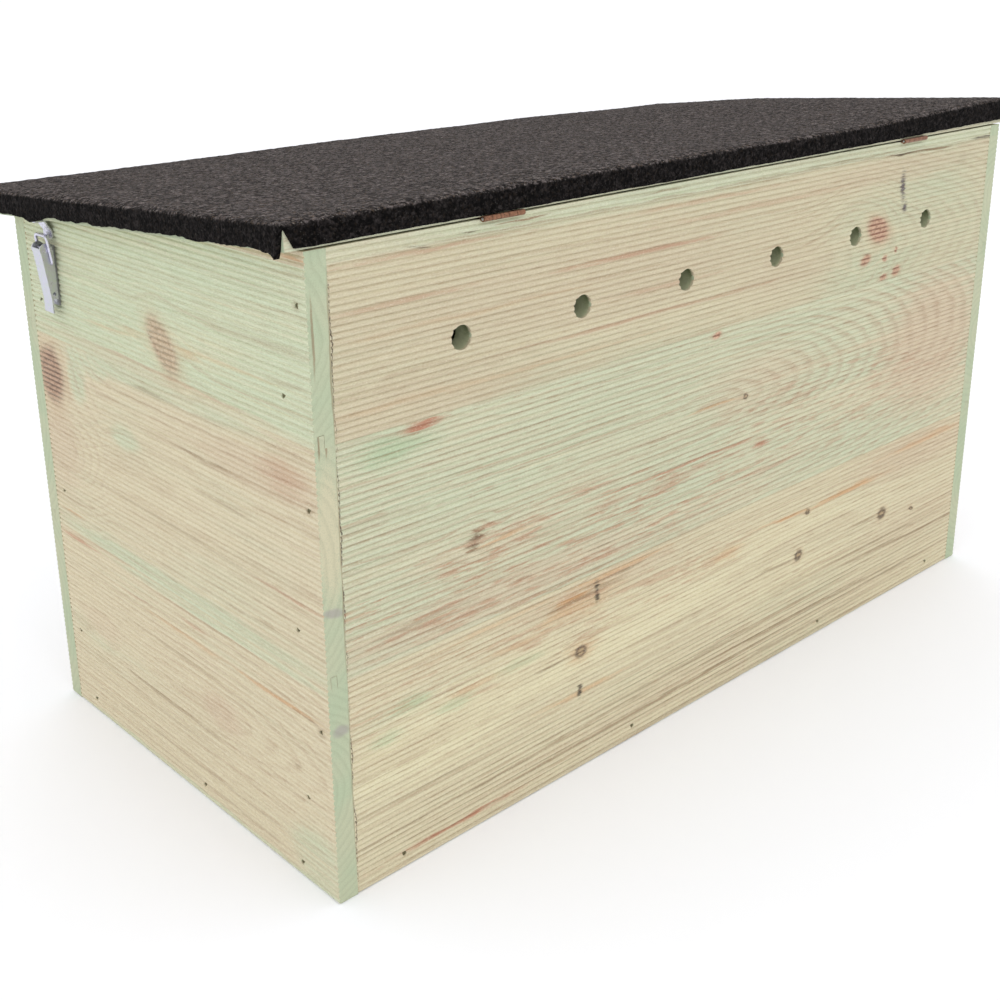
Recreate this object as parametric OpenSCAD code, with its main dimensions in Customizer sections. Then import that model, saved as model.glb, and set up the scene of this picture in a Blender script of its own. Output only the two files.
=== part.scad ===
// Hedgehog house: a grooved tongue-and-groove timber box with a sloping, felted, hinged lid.
// The vented back faces -Y, the entrance faces +Y, and the house stands on Z = 0.

/* [Box] */
// Outer length of the box, end to end
box_l = 707; // [650:1:740]
// Outer depth of the box, back to front
box_w = 343; // [300:1:420]
// Height of the back wall's outer face
back_h = 398; // [370:1:440]
// How much lower the front wall stands than the back wall
roof_fall = 27; // [15:1:45]

/* [Boards] */
// Thickness of the wall, floor and lid boards
board_t = 14; // [12:0.5:20]
// Height that one full board covers
board_cover = 145; // [140:1:150]
// Height of the thin strip that tops the back and end walls
strip_h = 9; // [7:0.5:14]
// Thickness of the tongue
tongue_t = 4; // [3:0.1:5]
// Height of the tongue
tongue_h = 7.5; // [5:0.1:9]
// Distance of the tongue from the grooved face
tongue_inset = 2.8; // [2:0.1:4]
// Clearance round a tongue in its groove
tongue_gap = 0.25; // [0.1:0.05:0.5]

/* [Grooved face] */
// Pitch of the fine ribs on the outer face
rib_pitch = 3.625; // [3:0.125:6]
// Depth of the grooves between the ribs
rib_depth = 0.9; // [0.4:0.1:1.4]
// Share of the pitch taken by each flank of a rib
rib_flank = 0.28; // [0.15:0.01:0.4]

/* [Vent holes] */
// Number of vent holes in the back wall
vent_count = 6; // [2:1:6]
// Diameter of a vent hole
vent_d = 15; // [10:0.5:25]
// Spacing of the vent holes
vent_pitch = 99.4; // [60:0.2:110]
// Distance of the vent holes below the middle of the top board
vent_drop = 7.5; // [0:0.5:20]

/* [Entrance] */
// Width of the entrance
entrance_w = 130; // [110:1:140]
// Height of the entrance's sill above the ground
entrance_sill = 20; // [16:1:40]
// Radius of the entrance's lower corners
entrance_r = 12; // [4:1:20]

/* [Inside] */
// Width of the entrance lobby behind the front wall
lobby_w = 190; // [180:1:240]
// Width of the gap in the partition
passage_w = 130; // [110:1:150]
// Number of board courses in the partition
partition_courses = 2; // [1:1:2]
// Side of the square corner posts
post_side = 25; // [18:1:30]
// Side of the square battens that hold the partition
cleat_side = 20; // [12:1:24]
// Height of the floor's underside above the ground
floor_lift = 0; // [0:0.5:4]
// Gap between the top of a corner post and the wall's top
post_drop = 7; // [4:0.5:20]

/* [Lid] */
// How far the lid boards pass each end of the box
lid_over_end = 11; // [10:1:30]
// Depth of the lid boards, along the slope
lid_depth = 390; // [350:1:480]
// Depth of the narrow lid board beside the hinges
lid_back_board = 100; // [80:1:140]
// Thickness of the lid boards
lid_t = 14; // [12:0.5:20]
// Gap between the lid and the back wall's top edge
hinge_gap = 1.2; // [0.8:0.1:1.6]
// Gap between the lid and the front wall's top edge
seat_gap = 0.3; // [0.2:0.1:1]
// Width of the battens under the lid
lid_batten_w = 30; // [20:1:50]
// Thickness of the battens under the lid
lid_batten_t = 18; // [10:1:25]
// Distance of each lid batten from the middle of the lid
lid_batten_x = 215; // [150:1:260]
// Gap between a lid batten's ends and the walls
lid_batten_gap = 14; // [8:1:40]

/* [Roofing felt] */
// Thickness of the roofing felt
felt_t = 2.2; // [1.5:0.1:4]
// Height of the felt folded down the long edges
felt_fold_long = 14.7; // [8:0.1:14.7]
// Height of the felt folded down the ends
felt_fold_end = 16.5; // [8:0.1:18]
// Width of the slit at each corner of the felt, at its foot
felt_slit = 8; // [3:0.5:14]

/* [Lid hinges] */
// Length of a hinge
hinge_l = 32; // [25:1:60]
// Distance of a hinge's middle from the end of the box
hinge_inset = 136; // [60:1:200]
// Width of a hinge leaf from the knuckle's edge
leaf_w = 12; // [8:0.5:13]
// Thickness of a hinge leaf
leaf_t = 0.8; // [0.7:0.05:1.2]
// Outer radius of the hinge knuckles
knuckle_r = 1.8; // [1.7:0.05:2.2]
// Radius of the hinge pin
hinge_pin_r = 0.9; // [0.7:0.05:1.1]
// Number of knuckles on a hinge
knuckle_count = 5; // [3:2:7]

/* [End latches] */
// Distance of the latches from the front face of the box
latch_inset = 52.4; // [45:0.1:120]
// Depth of the latch lever's rivet below the lid's underside
latch_drop = 20.5; // [19:0.5:28]
// Width of the latch lever
lever_w = 12.5; // [11:0.5:16]
// Length of the lever below its rivet
lever_l = 43; // [36:1:50]
// Thickness of the latch's pressed sheet
sheet_t = 1; // [0.8:0.1:1.2]
// Thickness of the latch's base plate
base_t = 1.2; // [1:0.1:2]
// Distance of the lever's rivet from the wall
rivet_u = 6.7; // [6.5:0.1:8]
// Radius of the lever's rivet
rivet_r = 1.4; // [1:0.05:1.6]
// Radius of the latch's wire loop
wire_r = 1.1; // [0.8:0.05:1.3]
// Distance of the wire loop's crossbar from the wall
bar_u = 6.4; // [6.2:0.1:8]
// Height of the wire loop's crossbar above the rivet
bar_z = 9; // [8.5:0.1:12]

/* [Fixings] */
// Radius of a nail's shank
nail_r = 0.9; // [0.7:0.05:1.2]
// Radius of a nail's head
nail_head_r = 1.6; // [1.4:0.1:2]
// Length of a nail
nail_l = 30; // [24:1:40]
// Radius of a screw's shank
screw_r = 1.3; // [1:0.05:1.5]
// Radius of a screw's head
screw_head_r = 2.5; // [2:0.1:2.8]
// Length of a screw
screw_l = 11; // [8:0.5:12]

/* [Hidden] */
$fn = 48;

WOOD = [0.80, 0.77, 0.62];
PALE_GREEN = [0.75, 0.80, 0.65];
INNER_WOOD = [0.84, 0.76, 0.60];
FELT = [0.16, 0.15, 0.15];
BRASSED = [0.66, 0.45, 0.24];
ZINC = [0.72, 0.73, 0.77];
STEEL = [0.45, 0.43, 0.40];

// Heights of the courses
joint_1 = board_cover;
joint_2 = 2 * board_cover;
seam_z = back_h - strip_h;
vent_z = (joint_2 + seam_z) / 2 - vent_drop;
spare = 20;

// Slopes of the wall tops and of the lid
front_h = back_h - roof_fall;
wall_drop = roof_fall / box_w;
lid_slope = atan((roof_fall + hinge_gap - seat_gap) / box_w);
lid_z0 = back_h + hinge_gap;
lid_l = box_l + 2 * lid_over_end;

// Inside of the box
half_l = box_l / 2;
inner_x = half_l - board_t;
inner_w = box_w - 2 * board_t;
front_in_y = box_w - board_t;
floor_top = floor_lift + board_t;
partition_x = inner_x - lobby_w - board_t;
partition_h = partition_courses * board_cover;
entrance_x = inner_x - lobby_w / 2;

// The end walls' top strips taper along the slope and stop where they get this thin
strip_foot = 1.1;
strip_len = min(front_in_y, (strip_h - strip_foot) / wall_drop);

// Hinge, in the lid's own frame: v runs down the slope and w stands square to it
leaf_gap = 0.3;
knuckle_gap = 0.3;
axis_v = -(knuckle_r + knuckle_gap);
axis_w = -(leaf_t + leaf_gap / 2);
wall_leaf_w = -(2 * leaf_t + leaf_gap);
pin_play = 0.05;
hinge_screw_x = hinge_l / 4;
knuckle_l = hinge_l / knuckle_count;
knuckle_side_gap = 0.15;

// Latch, in its own frame: u stands out from the wall, z is measured from the rivet
latch_y = box_w - latch_inset;
latch_z = lid_z0 - latch_y * tan(lid_slope) - latch_drop;
pivot_u = 4;
pivot_z = -9.5;
flange_u = 1.9;
top_r = 4.2;
ridge_u = rivet_u + top_r - 0.3;
toe_u = 6.4;
flange_end_z = -0.78 * lever_l;
plate_top_z = 1;
lever_in = lever_w / 2 - sheet_t;
cheek_y = lever_in - 0.4;
cheek_r = 2;
rivet_head_r = 2.1;
rivet_head_t = 0.3;
rivet_play = 0.05;
wire_play = 0.05;
wire_bend = 3;
wire_foot_bend = 1.6;
loop_len = norm([bar_u - pivot_u, bar_z - pivot_z]);
loop_tilt = atan((bar_u - pivot_u) / (bar_z - pivot_z));
wire_y = lever_w / 2 + wire_r + 0.75;
strike_w = lever_w - 0.5;
strike_gap = 0.4;
strike_bend = 1.4;
strike_screw_y = 3.4;
base_l = 0.9 * lever_l;
base_screw_z = [-0.32 * lever_l, -0.8 * lever_l];
strike_top_z = latch_drop + lid_t - 3;
strike_under_z = latch_drop - sheet_t - strike_w / 2 * tan(lid_slope) - 0.1;
strike_drop_u = 5.5;
hook_lip_u = bar_u - wire_r - strike_gap - sheet_t / 2;
hook_r = 1.7;
hook_plate_u = hook_lip_u - 2 * hook_r;
hook_z = bar_z - 0.5;

// Overall depth, which sets the origin at the middle of the footprint
y_low = axis_v * cos(lid_slope) + axis_w * sin(lid_slope) - knuckle_r;
y_high = (lid_depth + felt_t) * cos(lid_slope) + (lid_t + felt_t) * sin(lid_slope);
y_shift = -(y_low + y_high) / 2;

// Nails: [x, y, z, direction], where the direction is the way the nail is driven
nail_head_t = 0.8;
screw_head_t = 1.2;
end_nail_z = [114, 253, back_h - 30];
post_nail_z = [62, 174, 315];
front_nail_z = [72, 217, front_h - 36];
floor_nail_z = floor_lift + 10;
back_nail_y = 8.8;
floor_nail_y = [0.108 * box_w, 0.437 * box_w, 0.883 * box_w];
floor_nail_x = [-0.857 * half_l, -0.263 * half_l, 0.385 * half_l, 0.857 * half_l];
post_mid = board_t + post_side / 2;
NAILS = [
  for (s = [-1, 1], z = end_nail_z) [s * half_l, back_nail_y, z, [-s, 0]],
  for (s = [-1, 1], z = post_nail_z, y = [post_mid, box_w - post_mid]) [s * half_l, y, z, [-s, 0]],
  for (s = [-1, 1], y = floor_nail_y) [s * half_l, y, floor_nail_z, [-s, 0]],
  for (s = [-1, 1], z = front_nail_z) [s * (half_l - board_t / 2), box_w, z, [0, -1]],
  for (x = floor_nail_x) [x, 0, floor_nail_z, [0, 1]],
  for (x = floor_nail_x) [x, box_w, floor_nail_z, [0, -1]]
];

// Depth of the grooved face at a height: zero on a rib, rib_depth in the bottom of a groove
function groove_at(z) =
  let (f = z / rib_pitch - floor(z / rib_pitch))
  f < rib_flank ? rib_depth * (1 - f / rib_flank)
  : f > 1 - rib_flank ? rib_depth * (f - 1 + rib_flank) / rib_flank
  : 0;

// Corners of the grooved face between two heights
function groove_points(z0, z1) = [
  [groove_at(z0), z0],
  for (i = [floor(z0 / rib_pitch):ceil(z1 / rib_pitch)], f = [0, rib_flank, 1 - rib_flank])
    let (z = (i + f) * rib_pitch)
    if (z > z0 + 0.05 && z < z1 - 0.05) [groove_at(z), z],
  [groove_at(z1), z1]
];

// Cross-section of a board: depth from its face, then height
module board_section(z0, z1, grooved = true, tongue = true, groove = true, t = board_t) {
  face = grooved ? groove_points(z0, z1) : [[0, z0], [0, z1]];
  far_side = tongue_inset + tongue_t;
  tongue_points = tongue ? [
    [tongue_inset, z1],
    [tongue_inset, z1 + tongue_h],
    [far_side, z1 + tongue_h],
    [far_side, z1]
  ] : [];
  groove_top = z0 + tongue_h + tongue_gap;
  slot_points = groove ? [
    [far_side + tongue_gap, z0],
    [far_side + tongue_gap, groove_top],
    [tongue_inset - tongue_gap, groove_top],
    [tongue_inset - tongue_gap, z0]
  ] : [];
  polygon(concat(face, tongue_points, [[t, z1], [t, z0]], slot_points));
}

// Puts the box's own frame into the frame of the part
module placed() {
  translate([0, y_shift, 0]) children();
}

// A section carried along the back wall, from x0 to x1
module along_back(x0, x1) {
  translate([x0, 0, 0]) rotate([90, 0, 90]) linear_extrude(x1 - x0) children();
}

// A section carried along the front wall, from x0 to x1
module along_front(x0, x1) {
  translate([0, box_w, 0]) mirror([0, 1, 0]) along_back(x0, x1) children();
}

// A section carried from y0 to y1, with its face at x and its depth towards +X
module across(x, y0, y1) {
  translate([x, y1, 0]) rotate([90, 0, 0]) linear_extrude(y1 - y0) children();
}

// The space under the sloping cut across the tops of the walls
module below_cut() {
  rotate([90, 0, 90])
    linear_extrude(box_l + 2 * spare, center = true)
      polygon([
        [-spare, 0],
        [box_w + spare, 0],
        [box_w + spare, back_h - wall_drop * (box_w + spare)],
        [-spare, back_h + wall_drop * spare]
      ]);
}

// One nail lying along +X, its head level with the bottom of the grooves;
// the hole for it opens that much further outwards
module nail(open) {
  rotate([0, 90, 0]) {
    translate([0, 0, rib_depth - open]) cylinder(r = nail_head_r, h = nail_head_t + open, $fn = 24);
    translate([0, 0, rib_depth]) cylinder(r = nail_r, h = nail_l, $fn = 24);
  }
}

// The nails between two heights, or the holes for them
module nails(z0, z1, open = 0) {
  for (n = NAILS)
    if (n[2] > z0 && n[2] < z1)
      translate([n[0], n[1], n[2]]) rotate([0, 0, atan2(n[3][1], n[3][0])]) nail(open);
}
module nail_holes(z0, z1) {
  nails(z0, z1, rib_depth + 1);
}

// One countersunk screw, its head flush with Z = 0 and its shank going down
module screw() {
  translate([0, 0, -screw_head_t]) cylinder(r1 = screw_r, r2 = screw_head_r, h = screw_head_t, $fn = 24);
  translate([0, 0, -screw_l]) cylinder(r = screw_r, h = screw_l, $fn = 24);
}

// Walls
module back_board_bottom() {
  color(WOOD) placed() difference() {
    along_back(-inner_x, inner_x) board_section(0, joint_1, groove = false);
    nail_holes(0, joint_1);
  }
}
module back_board_middle() {
  color(PALE_GREEN) placed() difference() {
    along_back(-inner_x, inner_x) board_section(joint_1, joint_2);
    nail_holes(joint_1, joint_2);
  }
}
module back_board_vented() {
  color(WOOD) placed() difference() {
    along_back(-inner_x, inner_x) board_section(joint_2, seam_z, tongue = false);
    for (i = [0:vent_count - 1])
      translate([(i - (vent_count - 1) / 2) * vent_pitch, -1, vent_z])
        rotate([-90, 0, 0]) cylinder(d = vent_d, h = board_t + 2);
    nail_holes(joint_2, seam_z);
    hinge_wall_screws_raw();
  }
}
module back_top_strip() {
  color(WOOD) placed() difference() {
    intersection() {
      along_back(-inner_x, inner_x) board_section(seam_z, back_h + 2, tongue = false, groove = false);
      below_cut();
    }
    for (s = [-1, 1]) hinge_at(s) leaf_bed();
    hinge_wall_screws_raw();
  }
}
// The way in: a notch in the front's bottom board, open at the joint above it
module entrance_cut() {
  r = entrance_r;
  side = entrance_w / 2;
  translate([entrance_x, box_w + 2, entrance_sill])
    rotate([90, 0, 0])
      linear_extrude(board_t + 4) {
        translate([-side, r]) square([2 * side, joint_1]);
        translate([r - side, 0]) square([2 * (side - r), joint_1]);
        for (s = [-1, 1]) translate([s * (side - r), r]) circle(r = r);
      }
}
module front_board_bottom() {
  color(WOOD) placed() difference() {
    along_front(-half_l, half_l) board_section(0, joint_1, groove = false);
    entrance_cut();
    nail_holes(0, joint_1);
  }
}
module front_board_middle() {
  color(PALE_GREEN) placed() difference() {
    along_front(-half_l, half_l) board_section(joint_1, joint_2);
    nail_holes(joint_1, joint_2);
  }
}
module front_board_top() {
  color(WOOD) placed() difference() {
    intersection() {
      along_front(-half_l, half_l) board_section(joint_2, back_h, tongue = false);
      below_cut();
    }
    nail_holes(joint_2, back_h);
  }
}
// A board of the left end wall
module end_board(z0, z1, tongue, groove) {
  across(-half_l, 0, front_in_y) board_section(z0, z1, tongue = tongue, groove = groove);
}
module end_board_bottom() {
  difference() {
    end_board(0, joint_1, true, false);
    nail_holes(0, joint_1);
  }
}
module end_board_middle() {
  difference() {
    end_board(joint_1, joint_2, true, true);
    nail_holes(joint_1, joint_2);
    latch_at(-1) base_screws();
  }
}
module end_board_top() {
  difference() {
    intersection() {
      end_board(joint_2, seam_z, false, true);
      below_cut();
    }
    nail_holes(joint_2, seam_z);
    latch_at(-1) base_screws();
  }
}
module end_top_strip() {
  intersection() {
    across(-half_l, 0, strip_len) board_section(seam_z, back_h + 2, tongue = false, groove = false);
    below_cut();
  }
}
module left_end_board_bottom() { color(WOOD) placed() end_board_bottom(); }
module left_end_board_middle() { color(WOOD) placed() end_board_middle(); }
module left_end_board_top() { color(PALE_GREEN) placed() end_board_top(); }
module left_end_top_strip() { color(WOOD) placed() end_top_strip(); }
module right_end_board_bottom() { color(WOOD) placed() mirror([1, 0, 0]) end_board_bottom(); }
module right_end_board_middle() { color(WOOD) placed() mirror([1, 0, 0]) end_board_middle(); }
module right_end_board_top() { color(PALE_GREEN) placed() mirror([1, 0, 0]) end_board_top(); }
module right_end_top_strip() { color(WOOD) placed() mirror([1, 0, 0]) end_top_strip(); }

// Floor: boards laid back to front, the last one ripped to fit
module floor_board(i) {
  x0 = i * board_cover;
  x1 = min(x0 + board_cover, 2 * inner_x);
  last = i == 4;
  color(INNER_WOOD) placed() difference() {
    translate([-inner_x, board_t, floor_lift])
      rotate(a = 240, v = [1, 1, 1])
        linear_extrude(inner_w)
          board_section(x0, last ? 2 * inner_x : x1, grooved = false, tongue = !last, groove = i > 0);
    nail_holes(0, floor_top);
  }
}
module floor_board_1() { floor_board(0); }
module floor_board_2() { floor_board(1); }
module floor_board_3() { floor_board(2); }
module floor_board_4() { floor_board(3); }
module floor_board_5() { floor_board(4); }

// Corner posts stand on the floor and hold the nails of the end walls
module corner_post(sx, y) {
  top = back_h - wall_drop * (y + post_side) - post_drop;
  color(INNER_WOOD) placed() difference() {
    translate([sx > 0 ? inner_x - post_side : -inner_x, y, floor_top])
      cube([post_side, post_side, top - floor_top]);
    nail_holes(floor_top, top);
  }
}
module corner_post_back_left() { corner_post(-1, board_t); }
module corner_post_back_right() { corner_post(1, board_t); }
module corner_post_front_left() { corner_post(-1, front_in_y - post_side); }
module corner_post_front_right() { corner_post(1, front_in_y - post_side); }

// Partition between the lobby and the sleeping room
module partition_board_bottom() {
  z1 = floor_top + board_cover;
  color(INNER_WOOD) placed()
    across(partition_x, board_t + cleat_side + passage_w, front_in_y)
      board_section(floor_top, z1, grooved = false, tongue = partition_courses > 1, groove = false);
}
module partition_board_top() {
  z0 = floor_top + partition_h - (partition_courses > 1 ? board_cover : 0);
  z1 = z0 + board_cover;
  color(INNER_WOOD) placed()
    across(partition_x, board_t, front_in_y)
      board_section(z0, z1, grooved = false, tongue = false, groove = true);
}
module partition_cleat(y) {
  color(INNER_WOOD) placed()
    translate([partition_x + board_t, y, floor_top])
      cube([cleat_side, cleat_side, partition_h]);
}
module partition_cleat_back() { partition_cleat(board_t); }
module partition_cleat_front() { partition_cleat(front_in_y - cleat_side); }

module wall_nails() {
  color(STEEL) placed() nails(0, back_h);
}

// Lid
module lid_frame() {
  translate([0, 0, lid_z0]) rotate([-lid_slope, 0, 0]) children();
}
// A lid board between two distances down the slope
module lid_board(v0, v1, tongue, groove) {
  translate([-lid_l / 2, 0, lid_t]) rotate([0, 90, 0]) linear_extrude(lid_l)
    board_section(v0, v1, grooved = false, tongue = tongue, groove = groove, t = lid_t);
}
lid_joint_1 = lid_back_board;
lid_joint_2 = lid_back_board + board_cover;
module lid_board_back() {
  color(WOOD) placed() difference() {
    lid_frame() lid_board(0, lid_joint_1, true, false);
    hinge_lid_screws_raw();
  }
}
module lid_board_middle() {
  color(WOOD) placed() difference() {
    lid_frame() lid_board(lid_joint_1, lid_joint_2, true, true);
    for (s = [-1, 1]) latch_at(s) strike_screws();
  }
}
module lid_board_front() {
  color(WOOD) placed() difference() {
    lid_frame() lid_board(lid_joint_2, lid_depth, false, true);
    for (s = [-1, 1]) latch_at(s) strike_screws();
  }
}
module lid_batten(s) {
  v0 = board_t + lid_batten_gap;
  v1 = front_in_y - lid_batten_gap;
  color(INNER_WOOD) placed() lid_frame()
    translate([s * lid_batten_x - lid_batten_w / 2, v0, -lid_batten_t])
      cube([lid_batten_w, v1 - v0, lid_batten_t]);
}
module lid_batten_left() { lid_batten(-1); }
module lid_batten_right() { lid_batten(1); }

// Roofing felt: a sheet folded down over the four edges and slit at its corners
module roofing_felt() {
  outer_l = lid_l + 2 * felt_t;
  outer_d = lid_depth + 2 * felt_t;
  top_w = lid_t + felt_t;
  color(FELT) placed() difference() {
    lid_frame() difference() {
      union() {
        translate([-outer_l / 2, 0, top_w - felt_fold_end]) cube([outer_l, lid_depth, felt_fold_end]);
        translate([-lid_l / 2, -felt_t, top_w - felt_fold_long]) cube([lid_l, outer_d, felt_fold_long]);
        translate([-outer_l / 2, -felt_t, lid_t]) cube([outer_l, outer_d, felt_t]);
      }
      translate([-lid_l / 2, 0, -spare]) cube([lid_l, lid_depth, lid_t + spare]);
      for (s = [-1, 1], v = [0, lid_depth]) {
        translate([s * lid_l / 2, v + (v > 0 ? felt_t : -felt_t), lid_t]) slit();
        translate([s * (lid_l / 2 + felt_t), v, lid_t]) rotate([0, 0, 90]) slit();
      }
    }
    for (s = [-1, 1]) latch_at(s) strike_pocket();
  }
}
// The slanting cut through the end of a fold, half of the V-shaped slit at a corner
module slit() {
  rotate([90, 0, 0])
    linear_extrude(2 * felt_t, center = true)
      polygon([[0, 0], [-felt_slit / 2, -spare], [felt_slit / 2, -spare]]);
}

// Hinges: s is -1 for the left one and 1 for the right one
module hinge_at(s) {
  lid_frame() translate([s * (half_l - hinge_inset), 0, 0]) children();
}
// The knuckles of one leaf, every second one from the given start
module knuckles(start) {
  for (i = [start:2:knuckle_count - 1])
    translate([(i - knuckle_count / 2) * knuckle_l + knuckle_side_gap, axis_v, axis_w])
      rotate([0, 90, 0]) cylinder(r = knuckle_r, h = knuckle_l - 2 * knuckle_side_gap);
}
// The webs that join a leaf's plate to its knuckles, between two levels
module knuckle_webs(start, w0) {
  for (i = [start:2:knuckle_count - 1])
    translate([(i - knuckle_count / 2) * knuckle_l + knuckle_side_gap, axis_v, w0])
      cube([knuckle_l - 2 * knuckle_side_gap, -axis_v + 0.01, leaf_t]);
}
module leaf(start, w0, play) {
  difference() {
    union() {
      translate([-hinge_l / 2, 0, w0]) cube([hinge_l, leaf_w, leaf_t]);
      knuckles(start);
      knuckle_webs(start, w0);
    }
    translate([-hinge_l / 2 - 1, axis_v, axis_w])
      rotate([0, 90, 0]) cylinder(r = hinge_pin_r + play, h = hinge_l + 2);
  }
}
// The shallow bed cut for the wall leaf in the top of the back wall
module leaf_bed() {
  translate([-hinge_l / 2, -1, wall_leaf_w]) cube([hinge_l, leaf_w + 1, leaf_t + 3]);
}
module wall_leaf_screws() {
  for (x = [-hinge_screw_x, hinge_screw_x])
    translate([x, leaf_w / 2 + 1, wall_leaf_w + leaf_t]) screw();
}
module lid_leaf_screws() {
  for (x = [-hinge_screw_x, hinge_screw_x])
    translate([x, leaf_w / 2 + 1, -leaf_t]) rotate([180, 0, 0]) screw();
}
module hinge_wall_screws_raw() {
  for (s = [-1, 1]) hinge_at(s) wall_leaf_screws();
}
module hinge_lid_screws_raw() {
  for (s = [-1, 1]) hinge_at(s) lid_leaf_screws();
}
module hinge_wall_leaf(s) {
  color(BRASSED) placed() hinge_at(s) difference() {
    leaf(0, wall_leaf_w, 0);
    wall_leaf_screws();
  }
}
module hinge_lid_leaf(s) {
  color(BRASSED) placed() hinge_at(s) difference() {
    leaf(1, -leaf_t, pin_play);
    lid_leaf_screws();
  }
}
module hinge_pin(s) {
  color(ZINC) placed() hinge_at(s)
    translate([-hinge_l / 2, axis_v, axis_w])
      rotate([0, 90, 0]) cylinder(r = hinge_pin_r, h = hinge_l);
}
module left_hinge_wall_leaf() { hinge_wall_leaf(-1); }
module left_hinge_lid_leaf() { hinge_lid_leaf(-1); }
module left_hinge_pin() { hinge_pin(-1); }
module right_hinge_wall_leaf() { hinge_wall_leaf(1); }
module right_hinge_lid_leaf() { hinge_lid_leaf(1); }
module right_hinge_pin() { hinge_pin(1); }
module hinge_wall_screws() { color(BRASSED) placed() hinge_wall_screws_raw(); }
module hinge_lid_screws() { color(BRASSED) placed() hinge_lid_screws_raw(); }

// Latches: drawn with u along +X, then mirrored onto the left end
module latch_at(s) {
  mirror([s < 0 ? 1 : 0, 0, 0]) translate([half_l, latch_y, latch_z]) children();
}
// A section in u and z, carried across the latch for a width, about its middle
module sheet(width) {
  rotate([90, 0, 0]) linear_extrude(width, center = true) children();
}
// A round hole or pin across the latch, through u and z
module cross_pin(u, z, r, y0, y1) {
  translate([u, y1, z]) rotate([90, 0, 0]) cylinder(r = r, h = y1 - y0, $fn = 32);
}
module base_screws() {
  for (z = base_screw_z)
    translate([base_t, 0, z]) rotate([0, 90, 0]) screw();
}
module latch_base() {
  difference() {
    union() {
      translate([0, -cheek_y, -base_l]) cube([base_t, 2 * cheek_y, base_l + cheek_r]);
      sheet(2 * cheek_y) {
        translate([rivet_u, 0]) circle(r = cheek_r);
        translate([0, -cheek_r]) square([rivet_u, 2 * cheek_r]);
      }
    }
    translate([base_t, -cheek_y + sheet_t, -2 * cheek_r])
      cube([rivet_u + spare, 2 * (cheek_y - sheet_t), 4 * cheek_r]);
    cross_pin(rivet_u, 0, rivet_r, -lever_w, lever_w);
    base_screws();
  }
}
module latch_rivet() {
  head_y = lever_w / 2 + 0.1;
  cross_pin(rivet_u, 0, rivet_r, -head_y - rivet_head_t, head_y + rivet_head_t);
  cross_pin(rivet_u, 0, rivet_head_r, head_y, head_y + rivet_head_t);
  cross_pin(rivet_u, 0, rivet_head_r, -head_y - rivet_head_t, -head_y);
}
// Side outline of the lever below its round top: a tapering channel and a flat finger tab
module lever_outline() {
  polygon([
    [flange_u, -1],
    [rivet_u, plate_top_z],
    [ridge_u, plate_top_z],
    [toe_u, flange_end_z],
    [toe_u, -lever_l],
    [toe_u - sheet_t, -lever_l],
    [toe_u - sheet_t, flange_end_z],
    [flange_u, flange_end_z]
  ]);
}
// Inside of the lever's channel, open to the wall, the top and the foot
module lever_hollow() {
  polygon([
    [-spare, spare],
    [ridge_u + spare, spare],
    [ridge_u + spare, plate_top_z],
    [ridge_u - sheet_t, plate_top_z],
    [toe_u - sheet_t, flange_end_z],
    [toe_u - sheet_t, flange_end_z - 1],
    [-spare, flange_end_z - 1]
  ]);
}
module latch_lever() {
  difference() {
    union() {
      cross_pin(rivet_u, 0, top_r, -lever_w / 2, lever_w / 2);
      sheet(lever_w) lever_outline();
    }
    sheet(2 * lever_in) lever_hollow();
    cross_pin(rivet_u, 0, rivet_r + rivet_play, -lever_w, lever_w);
    cross_pin(pivot_u, pivot_z, wire_r + wire_play, -lever_w, lever_w);
    cross_pin((flange_u + toe_u) / 2, flange_end_z + 3.5, 1.2, -lever_w, lever_w);
  }
}
// A quarter bend of the wire, from +X round to +Y about its centre
module wire_quarter(bend) {
  rotate_extrude(angle = 90) translate([bend, 0]) circle(r = wire_r, $fn = 24);
}
module latch_loop() {
  straight = wire_y - wire_bend;
  translate([pivot_u, 0, pivot_z]) rotate([0, loop_tilt, 0])
    for (s = [0, 1]) mirror([0, s, 0]) {
      translate([0, 0, loop_len]) rotate([-90, 0, 0]) cylinder(r = wire_r, h = straight, $fn = 24);
      translate([0, straight, loop_len - wire_bend]) rotate([90, 0, 90]) wire_quarter(wire_bend);
      translate([0, wire_y, wire_foot_bend])
        cylinder(r = wire_r, h = loop_len - wire_bend - wire_foot_bend, $fn = 24);
      translate([0, wire_y - wire_foot_bend, wire_foot_bend])
        rotate([90, 90, 90]) wire_quarter(wire_foot_bend);
      translate([0, lever_in - 0.3, 0])
        rotate([-90, 0, 0]) cylinder(r = wire_r, h = wire_y - wire_foot_bend - lever_in + 0.3, $fn = 24);
    }
}
// A strip of even thickness along straight stretches, for bent sheet
module bent_strip(points) {
  half = sheet_t / 2;
  for (i = [0:len(points) - 2]) {
    a = points[i];
    d = points[i + 1] - a;
    translate(a) rotate(atan2(d[1], d[0])) translate([0, -half]) square([norm(d), sheet_t]);
  }
  for (i = [1:len(points) - 2]) translate(points[i]) circle(r = half, $fn = 24);
}
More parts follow.
